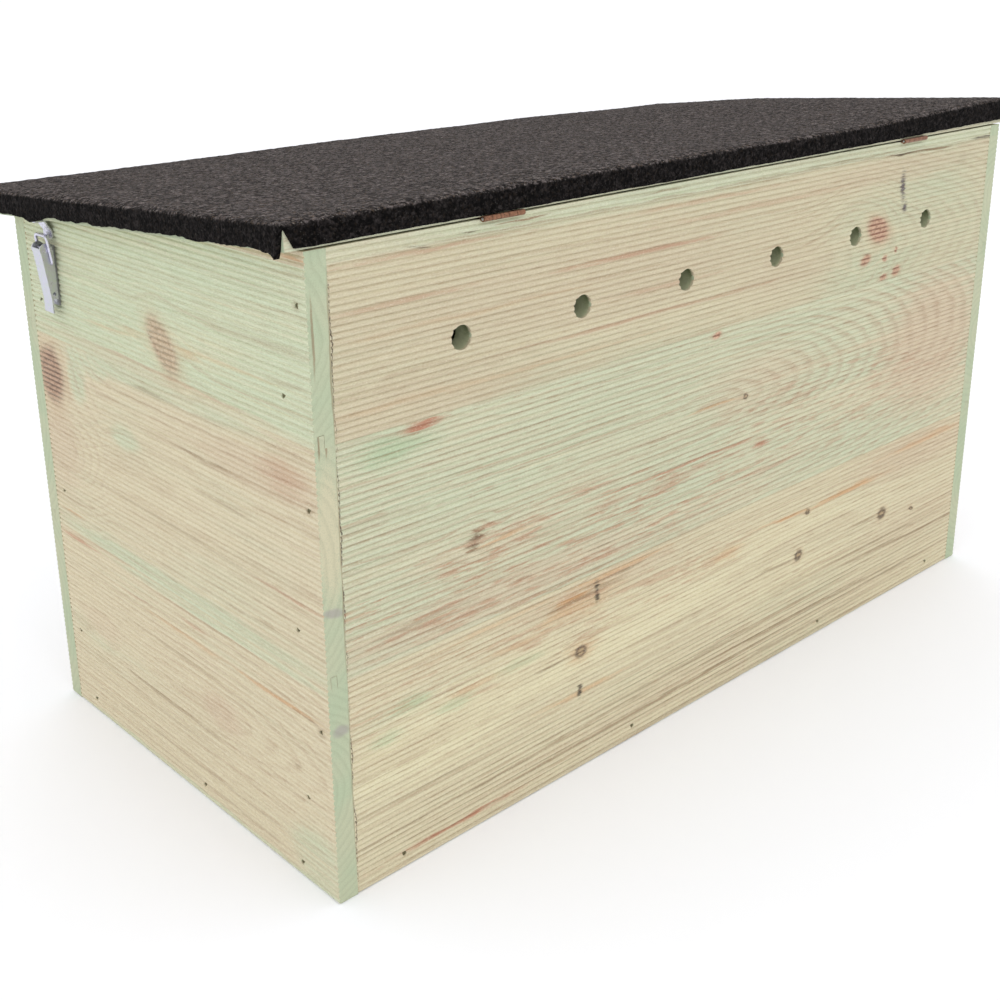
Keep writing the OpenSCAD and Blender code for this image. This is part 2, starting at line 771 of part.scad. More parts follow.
// The strike: a plate on the lid's end, bent in under the lid, then down and hooked out at its foot
module latch_strike() {
  end_u = lid_over_end + sheet_t / 2;
  difference() {
    sheet(strike_w) {
      bent_strip([
        [end_u, strike_top_z],
        [end_u, strike_under_z],
        [strike_drop_u, strike_under_z],
        [hook_plate_u, hook_z + 2 * strike_bend],
        [hook_plate_u, hook_z]
      ]);
      translate([hook_plate_u + hook_r, hook_z])
        intersection() {
          difference() {
            circle(r = hook_r + sheet_t / 2);
            circle(r = hook_r - sheet_t / 2);
          }
          translate([-spare, -2 * spare]) square(2 * spare);
        }
      translate([hook_lip_u - sheet_t / 2, hook_z]) square([sheet_t, 1.2]);
    }
    strike_screws();
  }
}
module strike_screws() {
  for (y = [-strike_screw_y, strike_screw_y])
    translate([lid_over_end + sheet_t, y, strike_top_z - 4])
      rotate([0, 90, 0]) screw();
}
// The pocket that the felt's end fold leaves over the strike
module strike_pocket() {
  translate([lid_over_end - 0.5, -strike_w / 2 - 0.2, strike_under_z - 5])
    cube([0.5 + sheet_t + 0.1, strike_w + 0.4, strike_top_z - strike_under_z + 5.3]);
}
module left_latch_base() { color(ZINC) placed() latch_at(-1) latch_base(); }
module left_latch_rivet() { color(ZINC) placed() latch_at(-1) latch_rivet(); }
module left_latch_lever() { color(ZINC) placed() latch_at(-1) latch_lever(); }
module left_latch_loop() { color(ZINC) placed() latch_at(-1) latch_loop(); }
module left_latch_strike() { color(ZINC) placed() latch_at(-1) latch_strike(); }
module right_latch_base() { color(ZINC) placed() latch_at(1) latch_base(); }
module right_latch_rivet() { color(ZINC) placed() latch_at(1) latch_rivet(); }
module right_latch_lever() { color(ZINC) placed() latch_at(1) latch_lever(); }
module right_latch_loop() { color(ZINC) placed() latch_at(1) latch_loop(); }
module right_latch_strike() { color(ZINC) placed() latch_at(1) latch_strike(); }
module latch_base_screws() {
  color(ZINC) placed() for (s = [-1, 1]) latch_at(s) base_screws();
}
module latch_strike_screws() {
  color(ZINC) placed() for (s = [-1, 1]) latch_at(s) strike_screws();
}

back_board_bottom();
back_board_middle();
back_board_vented();
back_top_strip();
front_board_bottom();
front_board_middle();
front_board_top();
left_end_board_bottom();
left_end_board_middle();
left_end_board_top();
left_end_top_strip();
right_end_board_bottom();
right_end_board_middle();
right_end_board_top();
right_end_top_strip();
floor_board_1();
floor_board_2();
floor_board_3();
floor_board_4();
floor_board_5();
corner_post_back_left();
corner_post_back_right();
corner_post_front_left();
corner_post_front_right();
partition_board_bottom();
partition_board_top();
partition_cleat_back();
partition_cleat_front();
wall_nails();
lid_board_back();
lid_board_middle();
lid_board_front();
lid_batten_left();
lid_batten_right();
roofing_felt();
left_hinge_wall_leaf();
left_hinge_lid_leaf();
left_hinge_pin();
right_hinge_wall_leaf();
right_hinge_lid_leaf();
right_hinge_pin();
hinge_wall_screws();
hinge_lid_screws();
left_latch_base();
left_latch_rivet();
left_latch_lever();
left_latch_loop();
left_latch_strike();
right_latch_base();
right_latch_rivet();
right_latch_lever();
right_latch_loop();
right_latch_strike();
latch_base_screws();
latch_strike_screws();
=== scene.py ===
"""Looks for the hedgehog house: grooved timber, roofing felt, hinges and latches around the CAD frame."""

import math

import bpy
import numpy as np
from mathutils import Matrix, Vector


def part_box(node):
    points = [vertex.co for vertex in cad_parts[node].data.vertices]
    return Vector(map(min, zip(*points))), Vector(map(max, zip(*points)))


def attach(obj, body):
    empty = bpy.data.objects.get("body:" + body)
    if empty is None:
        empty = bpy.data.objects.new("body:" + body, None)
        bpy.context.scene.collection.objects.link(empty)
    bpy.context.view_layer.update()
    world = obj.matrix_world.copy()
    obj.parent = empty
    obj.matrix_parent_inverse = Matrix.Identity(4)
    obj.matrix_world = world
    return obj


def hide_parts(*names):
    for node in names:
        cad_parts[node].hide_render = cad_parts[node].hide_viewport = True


bl_info = {
    "name": "Hedgehog House",
    "version": (1, 0, 0),
    "blender": (4, 5, 0),
    "location": "View3D > Sidebar > Hedgehog House",
    "description": "Builds the looks of a timber hedgehog house",
    "category": "Object",
}

MM = 0.001
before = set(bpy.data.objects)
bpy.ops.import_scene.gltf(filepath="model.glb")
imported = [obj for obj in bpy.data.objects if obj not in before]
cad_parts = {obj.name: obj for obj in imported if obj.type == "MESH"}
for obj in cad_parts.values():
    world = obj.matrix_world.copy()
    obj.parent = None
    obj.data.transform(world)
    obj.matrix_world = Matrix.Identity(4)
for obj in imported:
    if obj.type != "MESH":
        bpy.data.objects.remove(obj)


def face_of(node, end, axis):
    """Where a CAD node's box ends along an axis, in mm; end is 0 for its low side and 1 for its high side."""
    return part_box(node)[end][axis] * 1000


LEFT = face_of("left_end_board_bottom", 0, 0)
BACK = face_of("back_board_bottom", 0, 1)
FRONT = face_of("front_board_bottom", 1, 1)
VENT_HEIGHT = 332.0


def tone(r, g, b):
    """A colour given as sRGB values of 0 to 255, turned into linear light."""
    return tuple(((c / 255 + 0.055) / 1.055) ** 2.4 for c in (r, g, b))


def colour(name, about, *rgb):
    """A colour setting; its default is given as sRGB values of 0 to 255."""
    return bpy.props.FloatVectorProperty(
        name=name, description=about, subtype="COLOR", min=0.0, max=1.0, default=tone(*rgb))


def length(name, about, mm, low, high):
    """A length setting: its default and its limits are given in mm and held in metres."""
    return bpy.props.FloatProperty(
        name=name, description=about, unit="LENGTH", precision=5,
        default=mm * MM, min=low * MM, max=high * MM)


def power(name, about, watts):
    """A light's power setting, in watts."""
    return bpy.props.FloatProperty(
        name=name, description=about, unit="POWER", default=watts, min=0.0, max=400.0)


class TimberSettings(bpy.types.PropertyGroup):
    """Colours of the sawn softwood, and the depth of its ribs"""

    beige: colour("Beige wood", "Plain wood where no green shows", 210, 200, 172)
    green: colour("Green tint", "Wood where the green preservative is strong", 196, 203, 175)
    tan: colour("Tan wood", "Warm patches and strands", 204, 187, 162)
    cream: colour("Cream wood", "Pale patches and strands", 221, 212, 181)
    line: colour("Grain lines", "Late wood of the rings and fine fibres", 172, 146, 120)
    # the groove colour is painted shade at the bottom of the grooves between the ribs
    groove: colour("Groove bottoms", "Stain between the ribs", 166, 154, 126)
    dashes: colour("Short dashes", "Short red-brown marks along the ribs", 182, 142, 116)
    end_grain: colour("End grain", "Sawn ends of the boards", 179, 191, 161)
    # rib_depth is the depth at which the grooves' painted shade is full
    rib_depth: length("Rib depth", "Depth at which a groove has its full stain", 0.9, 0.3, 2.0)
    rough: bpy.props.FloatProperty(
        name="Roughness", description="Roughness of the wood",
        subtype="FACTOR", default=0.8, min=0.0, max=1.0)


class FeltSettings(bpy.types.PropertyGroup):
    """Sizes and colours of the roofing felt"""

    step: length("Grid step", "Width of one face of the felt's mesh", 3.0, 1.5, 10.0)
    bulge: length("Rise of the right end", "How far the felt stands up off the lid there", 4.3, 0.0, 8.0)
    ragged: length("Raggedness", "How far the lower edge wanders up and down", 1.0, 0.0, 4.0)
    top: colour("Granules", "Dark mineral granules", 65, 60, 59)
    speck: colour("Pale specks", "Lighter granules among them", 150, 145, 138)


class MetalSettings(bpy.types.PropertyGroup):
    """Colours of the hinges, latches, screws and nails"""

    zinc: colour("Zinc", "Zinc plate of the latches", 196, 195, 208)
    brassed: colour("Brassed steel", "Plate of the hinges", 150, 108, 84)
    nail: colour("Nails", "Heads of the nails in the walls", 126, 122, 94)


class StageSettings(bpy.types.PropertyGroup):
    """Strength of the lights and of the surround"""

    key: power("Key light", "Power of the light on the vented side", 5.0)
    fill: power("Fill light", "Power of each of the two other lights", 3.0)
    sky: bpy.props.FloatProperty(
        name="Surround", description="Strength of the even light from all round",
        default=1.12, min=0.0, max=3.0)


class Graph:
    """A small builder for a node-based material, whose colour is laid in steps."""

    def __init__(self, name):
        self.mat = bpy.data.materials.new(name)
        self.mat.use_nodes = True
        self.tree = self.mat.node_tree
        self.tree.nodes.clear()
        self.out = self.tree.nodes.new("ShaderNodeOutputMaterial")
        self.shader = self.tree.nodes.new("ShaderNodeBsdfPrincipled")
        self.link(self.shader.outputs["BSDF"], self.out.inputs["Surface"])
        self.col = None

    def link(self, a, b):
        self.tree.links.new(a, b)

    def feed(self, socket, value):
        if isinstance(value, bpy.types.NodeSocket):
            self.link(value, socket)
        elif value is not None:
            socket.default_value = value

    def node(self, kind, **settings):
        n = self.tree.nodes.new(kind)
        for k, v in settings.items():
            setattr(n, k, v)
        return n

    def math(self, op, a, b=None, c=None):
        n = self.node("ShaderNodeMath", operation=op)
        for i, v in enumerate((a, b, c)):
            self.feed(n.inputs[i], v)
        return n.outputs[0]

    def times(self, a, b):
        return self.math("MULTIPLY", a, b)

    def plus(self, a, b):
        return self.math("ADD", a, b)

    def minus(self, a, b):
        return self.math("SUBTRACT", a, b)

    def vec(self, op, a, b=None):
        n = self.node("ShaderNodeVectorMath", operation=op)
        self.feed(n.inputs[0], a)
        self.feed(n.inputs[1], b)
        return n.outputs["Value"] if op in ("LENGTH", "DOT_PRODUCT") else n.outputs[0]

    def coords(self, kind="Object"):
        return self.node("ShaderNodeTexCoord").outputs[kind]

    def split(self, v):
        n = self.node("ShaderNodeSeparateXYZ")
        self.feed(n.inputs[0], v)
        return list(n.outputs)

    def join(self, x, y, z):
        n = self.node("ShaderNodeCombineXYZ")
        for i, v in enumerate((x, y, z)):
            self.feed(n.inputs[i], v)
        return n.outputs[0]

    def noise(self, v, scale, detail=3.0, rough=0.55):
        n = self.node("ShaderNodeTexNoise")
        self.feed(n.inputs["Vector"], v)
        n.inputs["Scale"].default_value = scale
        n.inputs["Detail"].default_value = detail
        n.inputs["Roughness"].default_value = rough
        return n.outputs["Fac"]

    def voronoi(self, v, scale, out="Color"):
        n = self.node("ShaderNodeTexVoronoi")
        self.feed(n.inputs["Vector"], v)
        n.inputs["Scale"].default_value = scale
        return n.outputs[out]

    def ramp(self, fac, stops):
        """A straight ramp through stops, each a place with a grey value or a colour."""
        n = self.node("ShaderNodeValToRGB")
        n.color_ramp.interpolation = "LINEAR"
        while len(n.color_ramp.elements) < len(stops):
            n.color_ramp.elements.new(0.5)
        for e, (pos, col) in zip(n.color_ramp.elements, stops):
            e.position = pos
            e.color = (col, col, col, 1) if isinstance(col, (int, float)) else (tuple(col) + (1,))[:4]
        self.feed(n.inputs[0], fac)
        return n.outputs[0]

    def span(self, v, a, b, c=0.0, d=1.0):
        """A soft step from c, where v is a, to d, where v is b."""
        n = self.node("ShaderNodeMapRange", interpolation_type="SMOOTHSTEP")
        self.feed(n.inputs["Value"], v)
        for k, x in zip(("From Min", "From Max", "To Min", "To Max"), (a, b, c, d)):
            n.inputs[k].default_value = x
        return n.outputs[0]

    def mix(self, fac, a, b, blend="MIX"):
        n = self.node("ShaderNodeMix", data_type="RGBA", blend_type=blend)
        self.feed(n.inputs[0], fac)
        for socket, v in ((n.inputs[6], a), (n.inputs[7], b)):
            self.feed(socket, v if isinstance(v, bpy.types.NodeSocket) else tuple(v) + (1,))
        return n.outputs[2]

    def lay(self, colour, amount, share=None, blend="MIX"):
        """Lays a colour over the colour so far, by an amount and, where it is given, a fixed share of it."""
        if share is not None:
            amount = self.times(amount, share)
        self.col = self.mix(amount, self.col, colour, blend)

    def local(self, v, mark):
        """A place measured from a mark's centre in units of its radii, after a turn about the depth axis."""
        n = self.node("ShaderNodeMapping", vector_type="TEXTURE")
        self.feed(n.inputs["Vector"], v)
        n.inputs["Location"].default_value = (mark[0], mark[1], 0.0)
        n.inputs["Rotation"].default_value = (0.0, 0.0, math.radians(mark[4]))
        n.inputs["Scale"].default_value = (mark[2], mark[3], 1e6)
        return n.outputs[0]

    def marks(self, v, marks, outer, inner, fuzz=None):
        """The strongest of several soft ellipses, each fading from its inner to its outer size."""
        best = 0.0
        for m in marks:
            q = self.vec("LENGTH", self.local(v, m))
            if fuzz is not None:
                q = self.plus(q, fuzz)
            amount = self.times(self.span(q, outer, inner), m[5])
            best = amount if m is marks[0] else self.math("MAXIMUM", best, amount)
        return best

    def nearest(self, v, marks):
        """The least distance from several marks, each in units of its own radii."""
        best = 9.0
        for m in marks:
            q = self.vec("LENGTH", self.local(v, m))
            best = q if m is marks[0] else self.math("MINIMUM", best, q)
        return best

    def bump(self, height, distance, strength):
        n = self.node("ShaderNodeBump")
        n.inputs["Strength"].default_value = strength
        n.inputs["Distance"].default_value = distance
        self.feed(n.inputs["Height"], height)
        return n.outputs[0]


ORANGE = tone(200, 152, 108)
RED = tone(176, 118, 94)
BROWN = tone(142, 118, 92)
PURPLE = tone(84, 72, 84)
DARK = tone(70, 60, 50)
MOSS = tone(164, 188, 152)
PALE = tone(235, 229, 206)
# painted light for the bottoms of the grooves, where ribs is below 0
GROOVE_PAINTED_LIGHT = tone(240, 236, 216)
WARM_HALO = tone(198, 166, 134)
# a grey multiplied into the groove colour, for painted shade in the grooves
GROOVE_SHADE = (0.52, 0.50, 0.44)
# the dark and the pale colour of each kind of knot
RED_KNOT = (tone(146, 94, 78), tone(206, 166, 142))
DULL_KNOT = (tone(160, 136, 112), tone(200, 176, 150))
BIG_KNOT = (tone(112, 84, 74), tone(182, 148, 126))
HARD_KNOT = (tone(84, 66, 54), tone(166, 142, 112))
MAUVE = tone(166, 160, 154)
BEIGE_END = tone(204, 198, 168)
OLIVE_END = tone(190, 193, 164)
RING_END = tone(128, 132, 108)
PORE_END = tone(154, 158, 134)
# inside the vents: olive wood with painted light at the bottom of each hole, painted shade at its top, and
# painted light deep in it
VENT_LIT_BOTTOM = tone(174, 178, 146)
VENT_SHADED_TOP = tone(92, 100, 66)
VENT_PAINTED_LIGHT_DEEP = tone(214, 218, 184)
BROWN_GRANULE = tone(104, 88, 74)
RUST = (0.12, 0.07, 0.045)
# a taper's limit, in mm, where none is given
NO_LIMIT = 1e6


def placed(marks, origin):
    """Marks, or groups of them, moved from a wall's own left end or back to the part's frame."""
    if isinstance(marks, dict):
        return {kind: placed(group, origin) for kind, group in marks.items()}
    return [(m[0] + origin, *m[1:]) for m in marks]


class Wood(Graph):
    """Sawn softwood, tinted green in places, with all lengths in mm. run is the axis along the grain, and
    face is the outer plane as (axis, place, sign). A mark is a soft ellipse: its place along and across the
    board, its radii along and across, its tilt in degrees and its amount."""

    def __init__(self, name, props, run, face, seed):
        super().__init__(name)
        self.props, self.run, self.face, self.seed = props, run, face, seed
        self.xyz = [self.times(c, 1000.0) for c in self.split(self.coords())]
        across = 2 if run != 2 else 0
        self.other = ({0, 1, 2} - {run, across}).pop()
        self.u, self.v, self.d = (self.xyz[i] for i in (run, across, self.other))
        self.depth = self.times(self.minus(self.d, face[1]), face[2]) if face else self.d
        self.wob = self.centred(self.field(0.03, 0.06, 7.0), 1.0)
        self.flat = self.join(self.math("MULTIPLY_ADD", self.wob, 5.0, self.u),
                              self.math("MULTIPLY_ADD", self.wob, 3.5, self.v), 0.0)

    def field(self, along, cross, shift, detail=2.0, rough=0.55, v=None):
        """Noise of a given fineness along and across the grain, in features per mm."""
        place = self.join(self.math("MULTIPLY_ADD", self.u, along, self.seed + shift),
                          self.times(self.v if v is None else v, cross), self.times(self.d, cross))
        return self.noise(place, 1.0, detail, rough)

    def centred(self, x, amount):
        """Noise of 0 to 1 moved to lie about 0, times an amount."""
        return self.times(self.minus(x, 0.5), amount)

    def grow(self, around, pith, taper, ring):
        """The rings are circles about a pith line that runs along the board under its face, so the face cuts
        them as stripes. Where the pith dives by the taper (start, slope, limit), the stripes close into
        arches. The grain's height coordinate is pulled towards each knot, so that lines pass round it."""
        grain_v = self.v
        for k in around:
            rel = self.local(self.flat, k)
            dist = self.vec("LENGTH", rel)
            fall = self.math("EXPONENT", self.times(self.times(dist, dist), -0.32))
            pull = self.times(self.times(self.split(rel)[1], fall), -0.85 * k[3] * min(1.0, k[5] + 0.3))
            grain_v = self.plus(grain_v, pull)
        bend = self.centred(self.field(0.0025, 0.006, 0.0), 1.0)
        from_pith = self.plus(self.minus(grain_v, pith[0]), self.times(bend, 34.0))
        start, slope, limit = (*taper, NO_LIMIT)[:3]
        dive = self.math("MAXIMUM", self.times(self.minus(self.u, start), slope), 0.0)
        dive = self.math("MINIMUM", dive, limit)
        below = self.plus(self.plus(self.depth, pith[1]), self.plus(dive, self.times(bend, 14.0)))
        radius = self.math("SQRT", self.plus(self.times(from_pith, from_pith), self.times(below, below)))
        rings = self.plus(self.math("DIVIDE", radius, ring), self.times(self.wob, 0.9))
        self.late = self.ramp(self.math("FRACT", rings), [
            (0.0, 0.35), (0.12, 0.02), (0.5, 0.10), (0.82, 0.85), (0.94, 1.0), (1.0, 0.35)])
        self.streaky = self.field(0.004, 0.30, 3.0, 3.0, 0.6, grain_v)
        self.strands = self.field(0.009, 0.85, 13.0, 3.0, 0.6, grain_v)
        self.fibre = self.field(0.08, 2.2, 17.0, 4.0, 0.7)
        self.cloud = self.field(0.006, 0.022, 23.0, 2.0)

    def lay_ground(self, green, zones, lines):
        """Beige and green in soft bands, with zones of their own colour."""
        p = self.props
        tint = self.plus(self.centred(self.cloud, 1.3), green)
        tint = self.plus(tint, self.centred(self.streaky, 0.7))
        for m in zones.get("green", ()):
            q = self.plus(self.vec("LENGTH", self.local(self.flat, m)), self.centred(self.streaky, 0.9))
            tint = self.plus(tint, self.times(self.span(q, 1.25, 0.55), m[5]))
        self.col = self.mix(self.span(tint, 0.0, 1.0), p.beige, p.green)
        for kind, shade in (("tan", p.tan), ("cream", p.cream)):
            if kind in zones:
                self.lay(shade, self.marks(self.flat, zones[kind], 1.3, 0.5, self.centred(self.streaky, 1.2)))
        self.lay(p.cream, self.span(self.streaky, 0.50, 0.30), 0.30)
        self.lay(p.tan, self.span(self.strands, 0.48, 0.70), 0.22 * lines)

    def lay_lines(self, lines, bands):
        """The growth rings, then the soft brown lines and the fibres that follow the grain."""
        line = self.props.line
        self.lay(self.mix(0.55, self.col, line), self.late, 0.26 * lines * bands)
        self.lay(line, self.late, self.times(self.span(self.streaky, 0.45, 0.68), 0.36 * lines * bands))
        self.lay(line, self.span(self.times(self.streaky, self.strands), 0.30, 0.42), 0.28 * lines)
        self.lay(line, self.span(self.fibre, 0.50, 0.74), 0.34)
        self.lay(PALE, self.span(self.fibre, 0.50, 0.26), 0.34)

    def lay_streaks(self, streaks):
        """Coloured streaks with a fibrous, broken edge."""
        broken = self.centred(self.field(0.04, 0.5, 41.0, 3.0, 0.7), 2.2)
        for shade in (MOSS, ORANGE, RED, BROWN, PURPLE, DARK):
            if shade in streaks:
                fine = self.plus(self.centred(self.fibre, 1.6), broken)
                fuzz = self.plus(self.centred(self.strands, 1.4), fine)
                self.lay(shade, self.marks(self.flat, streaks[shade], 1.35, 0.25, fuzz))

    def lay_knots(self, soft, hard, soft_tones):
        """Knots with a faint warm halo and soft edges, paler on the ribs as painted light and darker in the
        grooves as painted shade. The hard ones have a dark ring."""
        # painted light on the ribs and painted shade in the grooves of the knots
        ridge_painted_light = self.span(self.depth, 0.55, 0.05) if self.face else 0.5
        blotch = self.noise(self.flat, 0.30, 3.0, 0.65)
        for chosen, (deep, pale), ringed in ((soft, soft_tones, False), (hard, HARD_KNOT, True)):
            if not chosen:
                continue
            q = self.plus(self.nearest(self.flat, chosen), self.times(self.wob, 0.36))
            q = self.plus(q, self.centred(self.fibre, 0.40))
            self.lay(WARM_HALO, self.span(q, 1.9, 0.9), 0.22)
            light = self.math("MULTIPLY_ADD", ridge_painted_light, 0.45, self.times(self.fibre, 0.35))
            light = self.plus(light, self.centred(blotch, 1.6))
            if ringed:
                ring_gap = self.math("ABSOLUTE", self.minus(q, 0.72))
                light = self.plus(light, self.span(ring_gap, 0.10, 0.55, -0.35, 0.45))
            self.lay(self.mix(self.span(light, 0.15, 0.80), deep, pale), self.span(q, 1.25, 0.60), 0.88)

    def lay_grooves(self, zones, ribs):
        """Painted shade in the grooves between the ribs, by a share that changes from rib to rib and along
        it, or painted light that makes them paler where ribs is below 0, and short dashes along them."""
        p = self.props
        per_rib = self.field(0.012, 0.276, 29.0, 2.0, 0.6)
        low = self.times(self.span(self.depth, 0.30, p.rib_depth / MM),
                         self.span(per_rib, 0.30, 0.72, 0.10, 1.0))
        # painted light: paler grooves where ribs is below 0
        self.lay(GROOVE_PAINTED_LIGHT, low, max(0.0, -ribs))
        share = 0.55 * max(0.0, ribs)
        if "deep" in zones:
            share = self.plus(self.marks(self.flat, zones["deep"], 1.3, 0.6), share)
        # painted shade: darker grooves where ribs is above 0
        self.lay(self.mix(0.5, p.groove, self.mix(0.8, self.col, GROOVE_SHADE, "MULTIPLY")), low, share)
        dash = self.span(self.field(0.05, 0.276, 51.0, 3.0, 0.7), 0.54, 0.66)
        self.lay(p.line, self.times(dash, self.span(self.depth, 0.1, 0.6)), 0.55 * abs(ribs))
        if "dashed" in zones:
            brief = self.span(self.field(0.03, 0.276, 61.0, 3.0, 0.7), 0.51, 0.63, 0.0, 0.75)
            self.lay(p.dashes, brief, self.marks(self.flat, zones["dashed"], 1.3, 0.6))

    def lay_flecks(self, cast):
        """Rough sawing, as pale and dark flecks across the ribs, then a cast over all."""
        place = self.join(self.times(self.u, 0.6), self.times(self.v, 1.1), self.d)
        self.fleck = self.noise(place, 1.0, 3.0, 0.75)
        self.lay(self.props.line, self.span(self.fleck, 0.50, 0.75), 0.36)
        self.lay(PALE, self.span(self.fleck, 0.50, 0.25), 0.42)
        self.lay(cast, 1.0, blend="MULTIPLY")

    def lay_ends(self, ends):
        """End grain: green and dull, its rings seen as arcs. Its marks are placed through and across the
        board."""
        pores = self.noise(self.join(*self.xyz), 1.6, 3.0, 0.6)
        cut = self.mix(self.span(self.cloud, 0.35, 0.7), self.props.end_grain, OLIVE_END)
        place = self.join(self.math("MULTIPLY_ADD", self.wob, 2.0, self.d),
                          self.math("MULTIPLY_ADD", self.wob, 3.5, self.v), 0.0)
        for shade in (BEIGE_END, MAUVE, BROWN):
            if shade in ends:
                cut = self.mix(self.marks(place, ends[shade], 1.3, 0.5, self.centred(pores, 0.8)), cut, shade)
        cut = self.mix(self.times(self.late, 0.22), cut, self.mix(0.7, cut, RING_END))
        cut = self.mix(self.times(self.span(pores, 0.45, 0.72), 0.35), cut, PORE_END)
        facing = self.math("ABSOLUTE", self.split(self.coords("Normal"))[self.run])
        self.lay(cut, self.span(facing, 0.97, 0.99))

    def lay_vents(self, height):
        """Walls of a row of round holes: wood colour at the mouth, then olive, with painted shade that
        darkens it towards the top and painted light that pales it deeper in.
        """
        up = self.minus(self.v, height)
        facing = self.math("ABSOLUTE", self.split(self.coords("Normal"))[self.other])
        hole = self.times(self.span(facing, 0.35, 0.2),
                          self.span(self.plus(self.depth, self.centred(self.fleck, 3.0)), 1.0, 3.0))
        hole = self.times(hole, self.span(self.math("ABSOLUTE", up), 8.6, 8.2))
        shade = self.plus(up, self.plus(self.centred(self.fibre, 6.0), self.centred(self.fleck, 6.0)))
        inside = self.mix(self.span(shade, -6.5, 6.0), VENT_LIT_BOTTOM, VENT_SHADED_TOP)
        inside = self.mix(self.span(self.depth, 3.0, 12.0, 0.0, 0.55), inside, VENT_PAINTED_LIGHT_DEEP)
        self.lay(inside, hole)

    def done(self):
        """Feeds the shader and returns the material."""
        self.link(self.col, self.shader.inputs["Base Color"])
        self.shader.inputs["Roughness"].default_value = self.props.rough
        self.shader.inputs["Specular IOR Level"].default_value = 0.2
        height = self.plus(self.times(self.fibre, 0.9), self.times(self.late, 0.2))
        self.link(self.bump(height, 0.35 * MM, 0.9), self.shader.inputs["Normal"])
        return self.mat


def timber(name, props, run, face=None, seed=0.0, pith=(0.0, 40.0), taper=(0.0, 0.0), ring=5.5, green=0.3,
           knots=(), dark_knots=(), swirls=(), streaks=None, zones=None, ends=None, ribs=1.0, lines=1.0,
           bands=1.0, cast=(1.0, 1.0, 1.0), knot_tones=RED_KNOT, vents=None):
    """The wood of one board. Its marks start from the wall's left end, or on an end wall from the back; the
    grain runs round swirls as round knots. streaks and ends group their marks by colour, zones by kind. pith
    is the pith line's height and depth, ring the width of a ring; green, lines, bands and ribs are strengths,
    ribs being that of the painted shade in the grooves, or of painted light there where it is below 0; cast
    is a colour laid over all; knot_tones are the dark and the pale colour of the soft knots; vents is the
    height of a row of holes."""
    along = LEFT if run == 0 else BACK
    knots, dark_knots, swirls = (placed(marks, along) for marks in (knots, dark_knots, swirls))
    streaks, zones = (placed(marks or {}, along) for marks in (streaks, zones))
    wood = Wood(name, props, run, face, seed)
    wood.grow([*knots, *dark_knots, *swirls], pith, taper, ring)
    wood.lay_ground(green, zones, lines)
    wood.lay_lines(lines, bands)
    wood.lay_streaks(streaks)
    wood.lay_knots(knots, dark_knots, knot_tones)
    if face:
        wood.lay_grooves(zones, ribs)
    wood.lay_flecks(cast)
    wood.lay_ends(placed(ends or {}, LEFT))
    if vents:
        wood.lay_vents(vents)
    return wood.done()


def box_u(x):
    """Distance along the vented back, from its left end, as a place in the part's frame, in mm."""
    return x + LEFT


def box_y(y):
    """Distance from the vented back, as a place in the part's frame, in mm."""
    return y + BACK


def put(node, mat):
    """Gives a CAD node one material."""
    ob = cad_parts[node]
    ob.data.materials.clear()
    ob.data.materials.append(mat)


